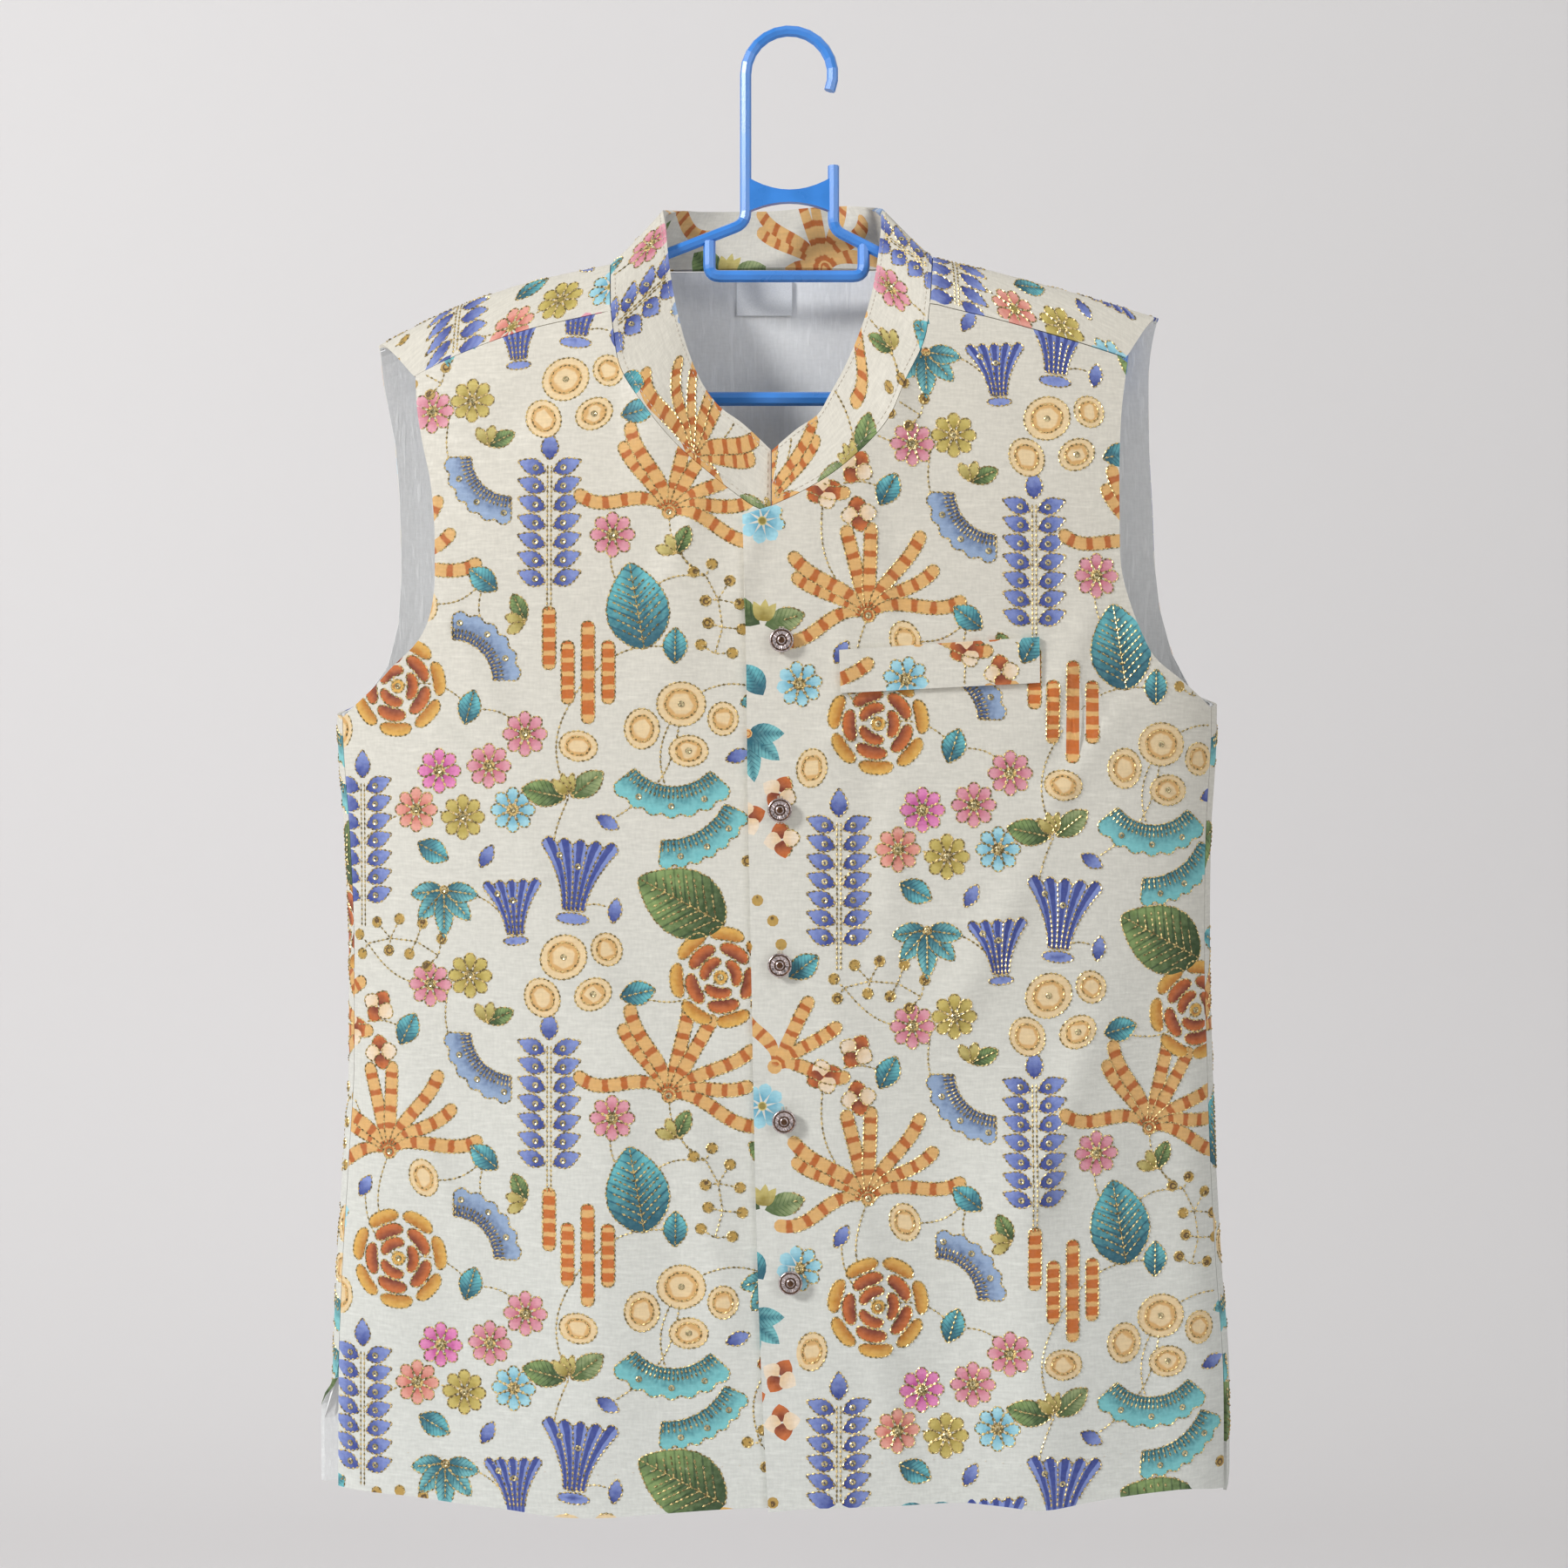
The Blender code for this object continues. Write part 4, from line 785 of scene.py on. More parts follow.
def bell(scale=1.0):
    """A flower that widens from a narrow foot to a scalloped mouth, ribbed from foot to mouth."""
    y = np.linspace(0, 1, 8)
    half = (4.6 + 11.5 * y**1.8) * scale
    sides = half + 1j * y * 26 * scale
    lobes = np.linspace(1, -1, 26)
    lip = lobes * half[-1] + 1j * (26 + 3.4 * np.abs(np.sin((lobes + 1) * 2.5 * math.pi))) * scale
    outline = np.concatenate([sides[:-1], lip, (-sides.conj())[-2::-1]])

    def place(points):
        rise = points.imag / (28 * scale)
        return rise, points.real / ((4.6 + 11.5 * rise.clip(0, 1) ** 1.8) * scale)

    foot = disc(7.0 * scale, -3.2j * scale, "periwinkle", GRADED, 14, 0.34)
    ribs = [share * half + 1j * y * 27 * scale for share in (-0.6, -0.2, 0.2, 0.6)]
    cup = Patch(outline, "periwinkle", RIBBED, place)
    return drawing([cup, foot], ribs, [18j * scale, (-8 + 22j) * scale])


def bars():
    rows = ((-12, 8, 26), (-4.3, -6, 26), (4.0, -14, 42), (12.3, -6, 26))
    patches = []
    for x, low, length in rows:
        corners = [-2.7, -2.4 - 1.8j, -1 - 2.6j, 1 - 2.6j, 2.4 - 1.8j, 2.7]
        lower = np.array(corners) + complex(x, low + 2.7)
        upper = (-np.array(corners)) + complex(x, low + length - 2.7)
        place = axis_place(complex(x, low), 1j, length, 5.4)
        patches.append(Patch(np.concatenate([lower, upper]), "amber", BANDED, place))
    return drawing(patches)


def pebbles():
    rows = ((0, 10.0, 0.9), (-16 - 10j, 7.2, 1.15), (17 - 6j, 6.2, 1.1), (3 - 19j, 8.0, 0.8))
    patches = [disc(radius, centre, "peach", RINGED, 20, squash) for centre, radius, squash in rows]
    rings = [row[0] + 0.66 * (closed(patch) - row[0]) for patch, row in zip(patches, rows)]
    return drawing(patches, rings, [0, 3 - 19j])


def buds():
    patches = []
    for centre, turn in ((0, 20), (13 + 10j, 60), (14 - 9j, 100)):
        for k, tint in enumerate(("rust", "cream", "rust", "cream")):
            degrees = turn + 90 * k
            foot = centre + 0.3 * turn_by(degrees)
            patches.append(petal(7.4, 7.6, foot, degrees, tint, blunt=0.75, steps=6))
    return drawing(patches)


def leaf(tint="green", length=40.0, width=27.0):
    t = np.linspace(0, 1, 31)
    wave = 1 + 0.05 * np.abs(np.sin(t * 7 * math.pi))
    half = width / 2 * np.sin(math.pi * t**0.82).clip(0) ** 0.75 * wave
    veins = [np.array([0, length * 0.97], complex)]
    for start in np.linspace(0.1, 0.78, 8):
        reach = 0.8 * width / 2 * math.sin(math.pi * min(start + 0.12, 1) ** 0.82)
        veins += [start * length + np.array([0, reach * (0.75 + 1j * side)]) for side in (-1, 1)]
    foot = -length / 2
    patch = Patch(blade(length, half, foot, 1), tint, VEINED, axis_place(foot, 1, length, width))
    return drawing([patch], [line + foot for line in veins])


def leaf_pair():
    leaves = [petal(17, 10, 1, 28, "moss", VEINED), petal(19, 11, -1, 158, "green", VEINED)]
    tips = [petal(9, 4.6, 1.5j, a, "olive", blunt=0.7) for a in (66, 96, 128)]
    veins = [np.array([1, 1 + 14 * turn_by(28)]), np.array([-1, -1 + 16 * turn_by(158)])]
    return drawing(leaves + tips, veins)


def palmate():
    turns = (-172, -132, -90, -48, -8)
    lengths = (15, 17, 20, 17, 15)
    blades = [petal(n, 8.4, 0, a, "sea", VEINED, blunt=0.85) for a, n in zip(turns, lengths)]
    veins = [np.array([0, 0.8 * n * turn_by(a)]) for a, n in zip(turns, lengths)]
    return drawing(blades + [disc(2.0, 0, "orange", steps=8)], veins, [0])


def berries():
    stem = np.array([0, 6 - 9j, 9 - 20j, 7 - 31j])
    spots = [-5 + 1j, 2 + 5j, 10 - 1j, 1 - 10j, 15 - 10j, 3 - 19j, 17 - 20j, 1 - 28j, 14 - 30j]
    stalks = [np.array([spot, stem[np.abs(stem - spot).argmin()]]) for spot in spots]
    return drawing([disc(2.4, spot, "bronze", steps=9) for spot in spots], [stem] + stalks)


def small_leaf():
    return drawing([petal(15, 10, -7, 12, "teal", VEINED)], [np.array([-6, 7 + 3j])])


def sprig():
    foot = -2 - 5j
    blades = [petal(13, 7.2, foot, 55, "green", VEINED)]
    blades += [petal(9, 4.6, foot, degrees, "olive", blunt=1.3) for degrees in (105, 150)]
    return drawing(blades, [np.array([foot, foot + 11 * turn_by(55)])])


def pebble():
    patch = disc(6.2, 0, "peach", RINGED, 16, 1.3)
    return drawing([patch], [0.62 * closed(patch)])


def bud():
    return drawing([petal(11, 6, -5.5, 0, "periwinkle", tip=1.0)])


MOTIFS = {
    "rosette": rosette(),
    "daisies": daisies(
        (0, "mustard"), (-20 + 3j, "salmon"), (-10 + 19j, "magenta"), (11 + 21j, "rose"), (21 + 3j, "sky")
    ),
    "daisy pair": daisies((-8, "rose"), (9 + 4j, "mustard")),
    "spike": spike(),
    "sea fan": fan(),
    "slate fan": fan("slate", 17, 29, 20, 110, 6),
    "low fan": fan("sea", 26, 38, 235, 305, 7),
    "frond": frond(),
    "small frond": frond(4, 76.0, 25.0),
    "pink daisy": daisies((0, "rose")),
    "blue daisy": daisies((0, "sky")),
    "bell": bell(),
    "small bell": bell(0.78),
    "bars": bars(),
    "pebbles": pebbles(),
    "buds": buds(),
    "green leaf": leaf(),
    "teal leaf": leaf("teal", 36, 25),
    "leaf pair": leaf_pair(),
    "palmate": palmate(),
    "berries": berries(),
    "small leaf": small_leaf(),
    "sprig": sprig(),
    "pebble": pebble(),
    "bud": bud(),
}
REPEAT = (209.0, 237.0)
STEM_BOW = 0.16  # how far a stem bows out, as a share of its length
Motif = namedtuple("Motif", "kind x height turn")
# The motifs of one repeat, lowest first: kind, place and turn in degrees
LAYOUT_ROWS = (
    ("spike", 18, 42, 0), ("palmate", 54, 22, 0), ("small bell", 84, 4, 4), ("bell", 108, 14, -6),
    ("green leaf", 152, 18, 152), ("berries", 184, 34, 8), ("daisies", 62, 52, 0),
    ("leaf pair", 106, 60, 10), ("sea fan", 148, 58, 18), ("low fan", 162, 41, 30), ("buds", 190, 68, 0),
    ("rosette", 34, 106, 0), ("small leaf", 66, 96, 60), ("slate fan", 74, 124, -20),
    ("bars", 110, 104, 0), ("pebbles", 152, 98, 0), ("palmate", 190, 102, 8), ("frond", 30, 150, 8),
    ("spike", 98, 172, 0), ("small leaf", 72, 150, 130), ("teal leaf", 134, 138, 100),
    ("berries", 162, 150, -6), ("leaf pair", 196, 146, -12), ("slate fan", 66, 184, 160),
    ("buds", 12, 200, 0), ("frond", 147, 176, -20), ("blue daisy", 196, 188, -10),
    ("daisy pair", 56, 220, 0), ("pebbles", 104, 232, 30), ("berries", 20, 236, 70),
    ("rosette", 168, 224, 20), ("small leaf", 134, 216, 0), ("pink daisy", 88, 86, 0),
    ("blue daisy", 2, 122, 10), ("small leaf", 194, 124, 110), ("small frond", 201, 204, -40),
    ("small leaf", 4, 6, 24), ("small leaf", 39, 200, 50), ("small leaf", 151, 121, 76),
    ("pink daisy", 124, 167, 0), ("pebble", 45, 140, 20), ("bud", 19, 135, 60),
    ("small leaf", 48, 37, -40), ("pebble", 7, 88, -10), ("bud", 125, 14, 80), ("sprig", 151, 164, 10),
    ("sprig", 76, 208, -30), ("bud", 175, 77, 20), ("sprig", 85, 136, 60), ("bud", 72, 36, 60),
    ("pebble", 110, 81, 80), ("bud", 122, 50, -30),
)
LAYOUT = [Motif(*row) for row in LAYOUT_ROWS]
# Pairs of motifs, by their number in the layout, that a stitched stem joins
STEMS = (
    (0, 6), (1, 2), (3, 7), (5, 10), (7, 14), (11, 12), (13, 19), (15, 16), (17, 24), (20, 21), (21, 25),
    (22, 26), (23, 27), (27, 29), (30, 31), (8, 15), (12, 32), (11, 17), (16, 34), (14, 38), (24, 37),
    (20, 39), (19, 40), (11, 41), (3, 44), (21, 45), (15, 51),
)


def placed(points, motif):
    return np.asarray(points) * turn_by(motif.turn) + complex(motif.x, motif.height)


def tile_patches():
    """The repeat's patches in order, lowest first, each with its place function in the repeat's frame."""
    patches = []
    for motif in LAYOUT:
        for patch in MOTIFS[motif.kind].patches:

            def place(points, patch=patch, motif=motif):
                return patch.place((points - complex(motif.x, motif.height)) / turn_by(motif.turn))

            patches.append(Patch(placed(patch.outline, motif), patch.tint, patch.style, place))
    return patches


def within(points, outline):
    """Which complex points lie inside a closed outline."""
    x, y = points.real, points.imag
    found = np.zeros(points.shape, bool)
    for a, b in zip(outline, np.roll(outline, -1)):
        if a.imag == b.imag:
            continue
        crossing = (a.imag > y) != (b.imag > y)
        found ^= crossing & (x < (b.real - a.real) * (y - a.imag) / (b.imag - a.imag) + a.real)
    return found


def dashes(line, pitch, length):
    """Short strokes along a line: their middles and their directions."""
    line = np.asarray(line, complex)
    reach = added_up(np.abs(np.diff(line)))
    count = max(int(reach[-1] / pitch), 1)
    middle = (np.arange(count) + 0.5) * reach[-1] / count

    def at(distance):
        return np.interp(distance, reach, line.real) + 1j * np.interp(distance, reach, line.imag)

    start, end = at(middle - length / 2), at(middle + length / 2)
    return (start + end) / 2, end - start


STITCH_PITCH, STITCH_LENGTH = 2.0, 2.1
SHIFTS_AROUND = [complex(i * REPEAT[0], j * REPEAT[1]) for i in (-1, 0, 1) for j in (-1, 0, 1)]


def joined(strokes):
    """The middles and the directions of several lines' strokes."""
    return [np.concatenate(parts) for parts in zip(*strokes)]


def tile_stitches(patches):
    """The repeat's gold strokes and sequins. A stroke is left out where a later patch covers it."""
    strokes, levels, spots = [], [], []
    level = 0
    for motif in LAYOUT:
        design = MOTIFS[motif.kind]
        for number, thread in enumerate(design.threads):
            strokes.append(dashes(placed(thread, motif), STITCH_PITCH, STITCH_LENGTH))
            levels.append(level + min(number + 1, len(design.patches)))
        level += len(design.patches)
        spots.append(placed(design.sequins, motif))
    for ends in STEMS:
        a, b = [complex(LAYOUT[k].x, LAYOUT[k].height) for k in ends]
        t = np.linspace(0, 1, 12)
        line = a + (b - a) * t + 1j * (b - a) * STEM_BOW * np.sin(math.pi * t)
        strokes.append(dashes(line, STITCH_PITCH, STITCH_LENGTH))
        levels.append(0)
    levels = np.repeat(levels, [len(middle) for middle, _ in strokes])
    middles, runs = joined(strokes)
    shown = np.ones(len(middles), bool)
    for number, patch in enumerate(patches):
        for shift in SHIFTS_AROUND:
            shown &= ~((levels <= number) & within(middles, patch.outline + shift))
    return middles[shown], runs[shown], np.concatenate(spots)


TILE_PATCHES = tile_patches()
TILE_MIDDLES, TILE_RUNS, TILE_SPOTS = tile_stitches(TILE_PATCHES)


def tile_shifts(outline, origin):
    """The places of the repeat that reach a panel."""
    low, high = [(edge - origin) / REPEAT for edge in (outline.min(axis=0), outline.max(axis=0))]
    steps = [range(math.floor(low[k]) - 1, math.ceil(high[k]) + 1) for k in (0, 1)]
    return [complex(*origin) + complex(i * REPEAT[0], j * REPEAT[1]) for i in steps[0] for j in steps[1]]


# Panels: the cut cloth with its printed patches, laid on the form and given its thickness

Panel = namedtuple("Panel", "name surface outline origin towards thickness spacing lined")
TURNED_EDGE = 26.0  # width of a large panel's turned sides
TURNED_SPACING, SHOULDER_SPACING = 3.0, 3.2  # between the points there, and over the shoulder


def ground_points(outline, spacing):
    """Flat places over a panel, closer together at its turned sides and over the shoulder."""
    low, high = outline.min(axis=0), outline.max(axis=0)
    edge = TURNED_EDGE if spacing > 4 else 0.0
    x = np.concatenate(
        [
            np.arange(low[0], low[0] + edge, TURNED_SPACING),
            np.arange(low[0] + edge, high[0] - edge, spacing),
            np.arange(high[0] - edge, high[0], TURNED_SPACING),
        ]
    )
    body = np.arange(low[1], SHOULDER_LEVEL, spacing)
    shoulder = np.arange(max(low[1], SHOULDER_LEVEL), high[1], SHOULDER_SPACING)
    grid = (x[None] + 1j * np.concatenate([body, shoulder])[:, None]).ravel()
    return grid[within(grid, complex_of(outline))]


def cut_sheet(panel):
    """The panel's triangles over its outline and every printed patch: flat points, faces with the number
    of each one's top patch, and the patches with their shifts."""
    border = complex_of(panel.outline)
    low, high = panel.outline.min(axis=0), panel.outline.max(axis=0)
    used = []
    for shift in tile_shifts(panel.outline, panel.origin):
        for patch in TILE_PATCHES:
            edge = pair_of(patch.outline + shift)
            if (edge.max(axis=0) >= low).all() and (edge.min(axis=0) <= high).all():
                used.append((patch, shift))
    loops = [border] + [patch.outline + shift for patch, shift in used]
    starts = np.cumsum([0] + [len(loop) for loop in loops])
    points = np.concatenate(loops + [ground_points(panel.outline, panel.spacing)])
    faces = [list(range(start, start + len(loop))) for start, loop in zip(starts, loops)]
    verts = [Vector((point.real, point.imag)) for point in points]
    verts, _, faces, _, _, sources = delaunay_2d_cdt(verts, [], faces, 0, 0.01)
    kept = [(face, max(source)) for face, source in zip(faces, sources) if 0 in source]
    return np.array([tuple(vert) for vert in verts]), kept, used


def linked(mesh, finishes):
    """A mesh's object, in the scene and with its finishes."""
    for finish in finishes:
        mesh.materials.append(finish)
    piece = bpy.data.objects.new(mesh.name, mesh)
    bpy.context.scene.collection.objects.link(piece)
    return piece


def made(name, shape, finishes, sharp=None):
    """A shape's object, shaded smooth apart from edges sharper than so many degrees."""
    mesh = bpy.data.meshes.new(name)
    shape.to_mesh(mesh)
    shape.free()
    mesh.shade_smooth()
    if sharp:
        mesh.set_sharp_from_angle(angle=math.radians(sharp))
    return linked(mesh, finishes)


def make_panel(panel, finishes):
    """Builds a panel: the print on its outer face, its wall turned in along the form's normals."""
    points, kept, used = cut_sheet(panel)
    used_verts = sorted({index for face, _ in kept for index in face})
    flat = points[used_verts]
    outer = panel.surface(flat)
    inner = outer - normals_of(panel.surface, flat, panel.towards) * panel.thickness
    sheet = bmesh.new()
    inner_place = sheet.verts.layers.float_vector.new("inner_place")
    deep = sheet.loops.layers.float_color.new("dye_deep")
    pale = sheet.loops.layers.float_color.new("dye_pale")
    place = sheet.loops.layers.float_vector.new("dye_place")
    cloth = sheet.loops.layers.uv.new("cloth")
    verts = {}
    for index, out, turned in zip(used_verts, outer, inner):
        vert = sheet.verts.new(out * MM)
        vert[inner_place] = turned * MM
        verts[index] = vert
    corners = {}
    for face, top in kept:
        facet = sheet.faces.new([verts[index] for index in face])
        for loop, index in zip(facet.loops, face):
            loop[cloth].uv = points[index] * MM
            if top:
                corners.setdefault(top - 1, []).append((loop, index))
    for number, loops in corners.items():
        patch, shift = used[number]
        at = np.array([complex(*points[index]) for _, index in loops]) - shift
        along_axis, aside = patch.place(at)
        tint = TINTS[patch.tint]
        for (loop, _), u, v in zip(loops, along_axis, aside):
            loop[deep] = (*tint.deep, 1.0)
            loop[pale] = (*tint.pale, 1.0)
            loop[place] = (u, v, patch.style + 1.0)
    raised = bmesh.ops.extrude_face_region(sheet, geom=list(sheet.faces), use_keep_orig=True)["geom"]
    for part in raised:
        if isinstance(part, bmesh.types.BMVert):
            part.co = part[inner_place]
        elif isinstance(part, bmesh.types.BMFace) and panel.lined:
            part.material_index = 1
    bmesh.ops.recalc_face_normals(sheet, faces=sheet.faces)
    piece = made(panel.name, sheet, finishes, 55)
    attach(piece, BODY)
    return piece


# Stitches and sequins: one small shape, repeated

GOLD_THREAD = (0.95, 0.42)  # width and height of a stroke
THREAD_MARGIN, SEQUIN_MARGIN = 1.4, 3.0  # how far they keep from a panel's edge
SEQUIN_RADIUS, SEQUIN_RISE = 1.35, 0.15


def thread_shape(width, height):
    """A stroke of thread one unit long: a slim bar that narrows to both ends."""
    shape = bmesh.new()
    half = width / 2
    spots = ((-0.5, 0, 0), (0.5, 0, 0), (0, -half, 0), (0, half, 0), (0, 0, height), (0, 0, -height * 0.6))
    bmesh.ops.convex_hull(shape, input=[shape.verts.new(spot) for spot in spots])
    return shape


def sequin_shape(radius):
    """A dished disc, open at its middle."""
    shape = bmesh.new()
    ring = bmesh.ops.create_circle(shape, segments=10, radius=radius, cap_ends=False)["verts"]
    edges = list({edge for vert in ring for edge in vert.link_edges})
    for scale, rise in ((0.72, 0.3), (0.42, -0.2)):
        grown = bmesh.ops.extrude_edge_only(shape, edges=edges)["geom"]
        verts = [part for part in grown if isinstance(part, bmesh.types.BMVert)]
        edges = [part for part in grown if isinstance(part, bmesh.types.BMEdge)]
        bmesh.ops.scale(shape, vec=(scale, scale, 1), verts=verts)
        bmesh.ops.translate(shape, vec=(0, 0, rise), verts=verts)
    bmesh.ops.recalc_face_normals(shape, faces=shape.faces)
    for face in shape.faces:
        if face.normal.z < 0:
            face.normal_flip()
    return shape


def repeated(name, shape, places, alongs, asides, ups, finish):
    """One mesh that holds a copy of a small shape at each place, turned to its three directions."""
    shape.verts.ensure_lookup_table()
    spots = np.array([tuple(vert.co) for vert in shape.verts])
    faces = [[vert.index for vert in face.verts] for face in shape.faces]
    shape.free()
    turned = [spots[None, :, k, None] * axes[:, None] for k, axes in enumerate((alongs, asides, ups))]
    points = (places[:, None] + turned[0] + turned[1] + turned[2]).reshape(-1, 3)
    starts = range(0, len(points), len(spots))
    polygons = [[index + start for index in face] for start in starts for face in faces]
    mesh = bpy.data.meshes.new(name)
    mesh.from_pydata((points * MM).tolist(), [], polygons)
    mesh.update()
    piece = linked(mesh, [finish])
    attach(piece, BODY)
    return piece


def sewn(name, panel, middles, runs, shape, finish, rise=0.1):
    """Strokes of thread laid on a panel's outer face."""
    flat, step = pair_of(middles), pair_of(runs) / 2
    start, end = panel.surface(flat - step), panel.surface(flat + step)
    normals = normals_of(panel.surface, flat, panel.towards)
    alongs = end - start
    asides = np.cross(normals, alongs)
    asides /= np.linalg.norm(asides, axis=1)[:, None]
    places = (start + end) / 2 + normals * rise
    return repeated(name, shape, places, alongs, asides, normals, finish)


def inside_panel(points, panel, margin):
    """Which points lie on a panel and keep a margin from its edge."""
    found = np.ones(points.shape, bool)
    for offset in (0, margin, -margin, 1j * margin, -1j * margin):
        found &= within(points + offset, complex_of(panel.outline))
    return found


def embroider(panel, gold, sequin_finish, bare):
    """The panel's gold running stitches and its sequins."""
    shifts = tile_shifts(panel.outline, panel.origin)
    middles, spots = [np.concatenate([found + k for k in shifts]) for found in (TILE_MIDDLES, TILE_SPOTS)]
    runs = np.tile(TILE_RUNS, len(shifts))
    shown = inside_panel(middles, panel, THREAD_MARGIN) & ~bare(middles)
    if not shown.any():
        return []
    thread = thread_shape(*GOLD_THREAD)
    pieces = [sewn(panel.name + "_gold", panel, middles[shown], runs[shown], thread, gold)]
    spots = spots[inside_panel(spots, panel, SEQUIN_MARGIN) & ~bare(spots)]
    if len(spots):
        level = np.ones(len(spots), complex)
        sequin, name = sequin_shape(SEQUIN_RADIUS), panel.name + "_sequins"
        pieces.append(sewn(name, panel, spots, level, sequin, sequin_finish, SEQUIN_RISE))
    return pieces


# Finishes


def feed(tree, socket, value):
    """Links a socket to another node's output, or sets it to a value."""
    if isinstance(value, Wire):
        tree.links.new(value.socket, socket)
    elif value is not None:
        socket.default_value = value


def wire(tree, kind, output=0, inputs=(), **settings):
    """Adds a node with its settings and inputs, and gives one of its outputs."""
    node = tree.nodes.new("ShaderNode" + kind)
    for name, value in settings.items():
        setattr(node, name, value)
    for key, value in dict(inputs).items():
        feed(tree, node.inputs[key], value)
    return Wire(tree, node.outputs[output])


class Wire:
    """A node's output that can be reckoned with: each step adds a node to its tree."""

    def __init__(self, tree, socket):
        self.tree, self.socket = tree, socket

    def calc(self, operation, *values, clamp=False):
        inputs = enumerate((self, *values))
        return wire(self.tree, "Math", 0, inputs, operation=operation, use_clamp=clamp)

    def __add__(self, other):
        return self.calc("ADD", other)

    def __sub__(self, other):
        return self.calc("SUBTRACT", other)

    def __mul__(self, other):
        return self.calc("MULTIPLY", other)

    def __abs__(self):
        return self.calc("ABSOLUTE")

    def ramp(self, low, high, to_low=0.0, to_high=1.0):
        inputs = enumerate((self, low, high, to_low, to_high))
        return wire(self.tree, "MapRange", 0, inputs, interpolation_type="SMOOTHSTEP")

    def off_middle(self, times, shift=0.0):
        """How far the fraction of a multiple lies from a half."""
        return abs((self * times + shift).calc("FRACT") - 0.5)

    def parts(self):
        split = self.tree.nodes.new("ShaderNodeSeparateXYZ")
        feed(self.tree, split.inputs[0], self)
        return [Wire(self.tree, output) for output in split.outputs]


def blend(tree, factor, first, second, mode="MIX"):
    """A mix of two colours. One given as numbers gets its alpha here."""
    ends = [end if isinstance(end, Wire) else (*end, 1.0) for end in (first, second)]
    inputs = {0: factor, 6: ends[0], 7: ends[1]}
    return wire(tree, "Mix", 2, inputs, data_type="RGBA", blend_type=mode)


def noise(tree, vector, scale, detail=2.0, stretch=(1, 1, 1)):
    vector = wire(tree, "Mapping", 0, {"Vector": vector, "Scale": stretch})
    return wire(tree, "TexNoise", "Fac", {"Vector": vector, "Scale": scale, "Detail": detail})


def new_group(name, inputs, outputs):
    """A node group, its given wires by name, and its output node."""
    group = bpy.data.node_groups.new(name, "ShaderNodeTree")
    for label, kind in inputs.items():
        group.interface.new_socket(label, in_out="INPUT", socket_type="NodeSocket" + kind)
    for label, kind in outputs.items():
        group.interface.new_socket(label, in_out="OUTPUT", socket_type="NodeSocket" + kind)
    given = {output.name: Wire(group, output) for output in group.nodes.new("NodeGroupInput").outputs}
    return group, given, group.nodes.new("NodeGroupOutput")


def use_group(tree, group, **values):
    node = tree.nodes.new("ShaderNodeGroup")
    node.node_tree = group
    for name, value in values.items():
        feed(tree, node.inputs[name], value)
    return {output.name: Wire(tree, output) for output in node.outputs}


def weave_group():
    """A slubbed plain weave: fine crossed threads, some of them thicker, over a place in metres."""
    inputs = {"Vector": "Vector", "Slub": "Float"}
    group, given, out = new_group("Slub weave", inputs, {"Height": "Float", "Tone": "Float"})
    vector = given["Vector"]
    weft = noise(group, vector, 900.0, 2.0, (0.22, 1.0, 1.0))
    warp = noise(group, vector, 1000.0, 2.0, (1.0, 0.25, 1.0))
    slubs = noise(group, vector, 420.0, 2.0, (0.12, 1.0, 1.0)).ramp(0.56, 0.72) * given["Slub"]
    height = weft * 0.6 + warp * 0.4 + slubs * 0.5
    cloudy = noise(group, vector, 16.0, 3.0)
    feed(group, out.inputs["Height"], height)
    feed(group, out.inputs["Tone"], height.ramp(0.25, 0.85, 0.0, 0.75) + cloudy * 0.25)
    return group


def dye_group():
    """The printed motifs' colour from a patch's two tints, the place on it and its style."""
    inputs = {"Deep": "Color", "Pale": "Color", "Place": "Vector", "Cloth": "Vector", "Ground": "Color"}
    group, given, out = new_group("Printed dye", inputs, {"Color": "Color"})
    u, v, style = given["Place"].parts()
    brush = noise(group, given["Cloth"], 420.0, 3.0)
    wander = (brush - 0.5) * 0.5
    side = abs(v)
    graded = (u + wander).ramp(0.05, 0.9)
    vein = (u - side * 0.22).off_middle(9.0).ramp(0.32, 0.5) * 0.45
    spine = side.ramp(0.0, 0.55).ramp(0.0, 1.0, 0.45, 1.0)
    fringe = (v * 0.75).calc("FRACT").ramp(0.35, 0.65) * u.ramp(0.3, 0.6, 0.35, 0.0)
    shades = {
        VEINED: (graded * spine).calc("SUBTRACT", vein, clamp=True),
        BANDED: (u.off_middle(4.7, 0.25) + wander * 0.4).ramp(0.12, 0.22),
        RIBBED: v.off_middle(2.5, 0.5).ramp(0.2, 0.3) * u.ramp(0.0, 1.0, 0.4, 1.0),
        RINGED: abs(u - 0.62).ramp(0.06, 0.16),
        FRINGED: (u + wander).ramp(0.1, 0.8).calc("ADD", fringe, clamp=True),
    }
    factor = graded * style.calc("COMPARE", GRADED + 1.0, 0.4)
    for number, value in shades.items():
        factor = value.calc("MULTIPLY_ADD", style.calc("COMPARE", number + 1.0, 0.4), factor)
    dyed = blend(group, factor, given["Deep"], given["Pale"])
    speckled = blend(group, brush * 0.12, dyed, given["Ground"])
    printed = style.calc("GREATER_THAN", 0.5)
    feed(group, out.inputs["Color"], blend(group, printed, given["Ground"], speckled))
    return group


def new_finish(name, **settings):
    """A material and its node tree, with constants set on the shader's own sockets."""
    finish = bpy.data.materials.new(name)
    finish.use_nodes = True
    for label, value in settings.items():
        finish.node_tree.nodes["Principled BSDF"].inputs[label.replace("_", " ")].default_value = value
    return finish, finish.node_tree


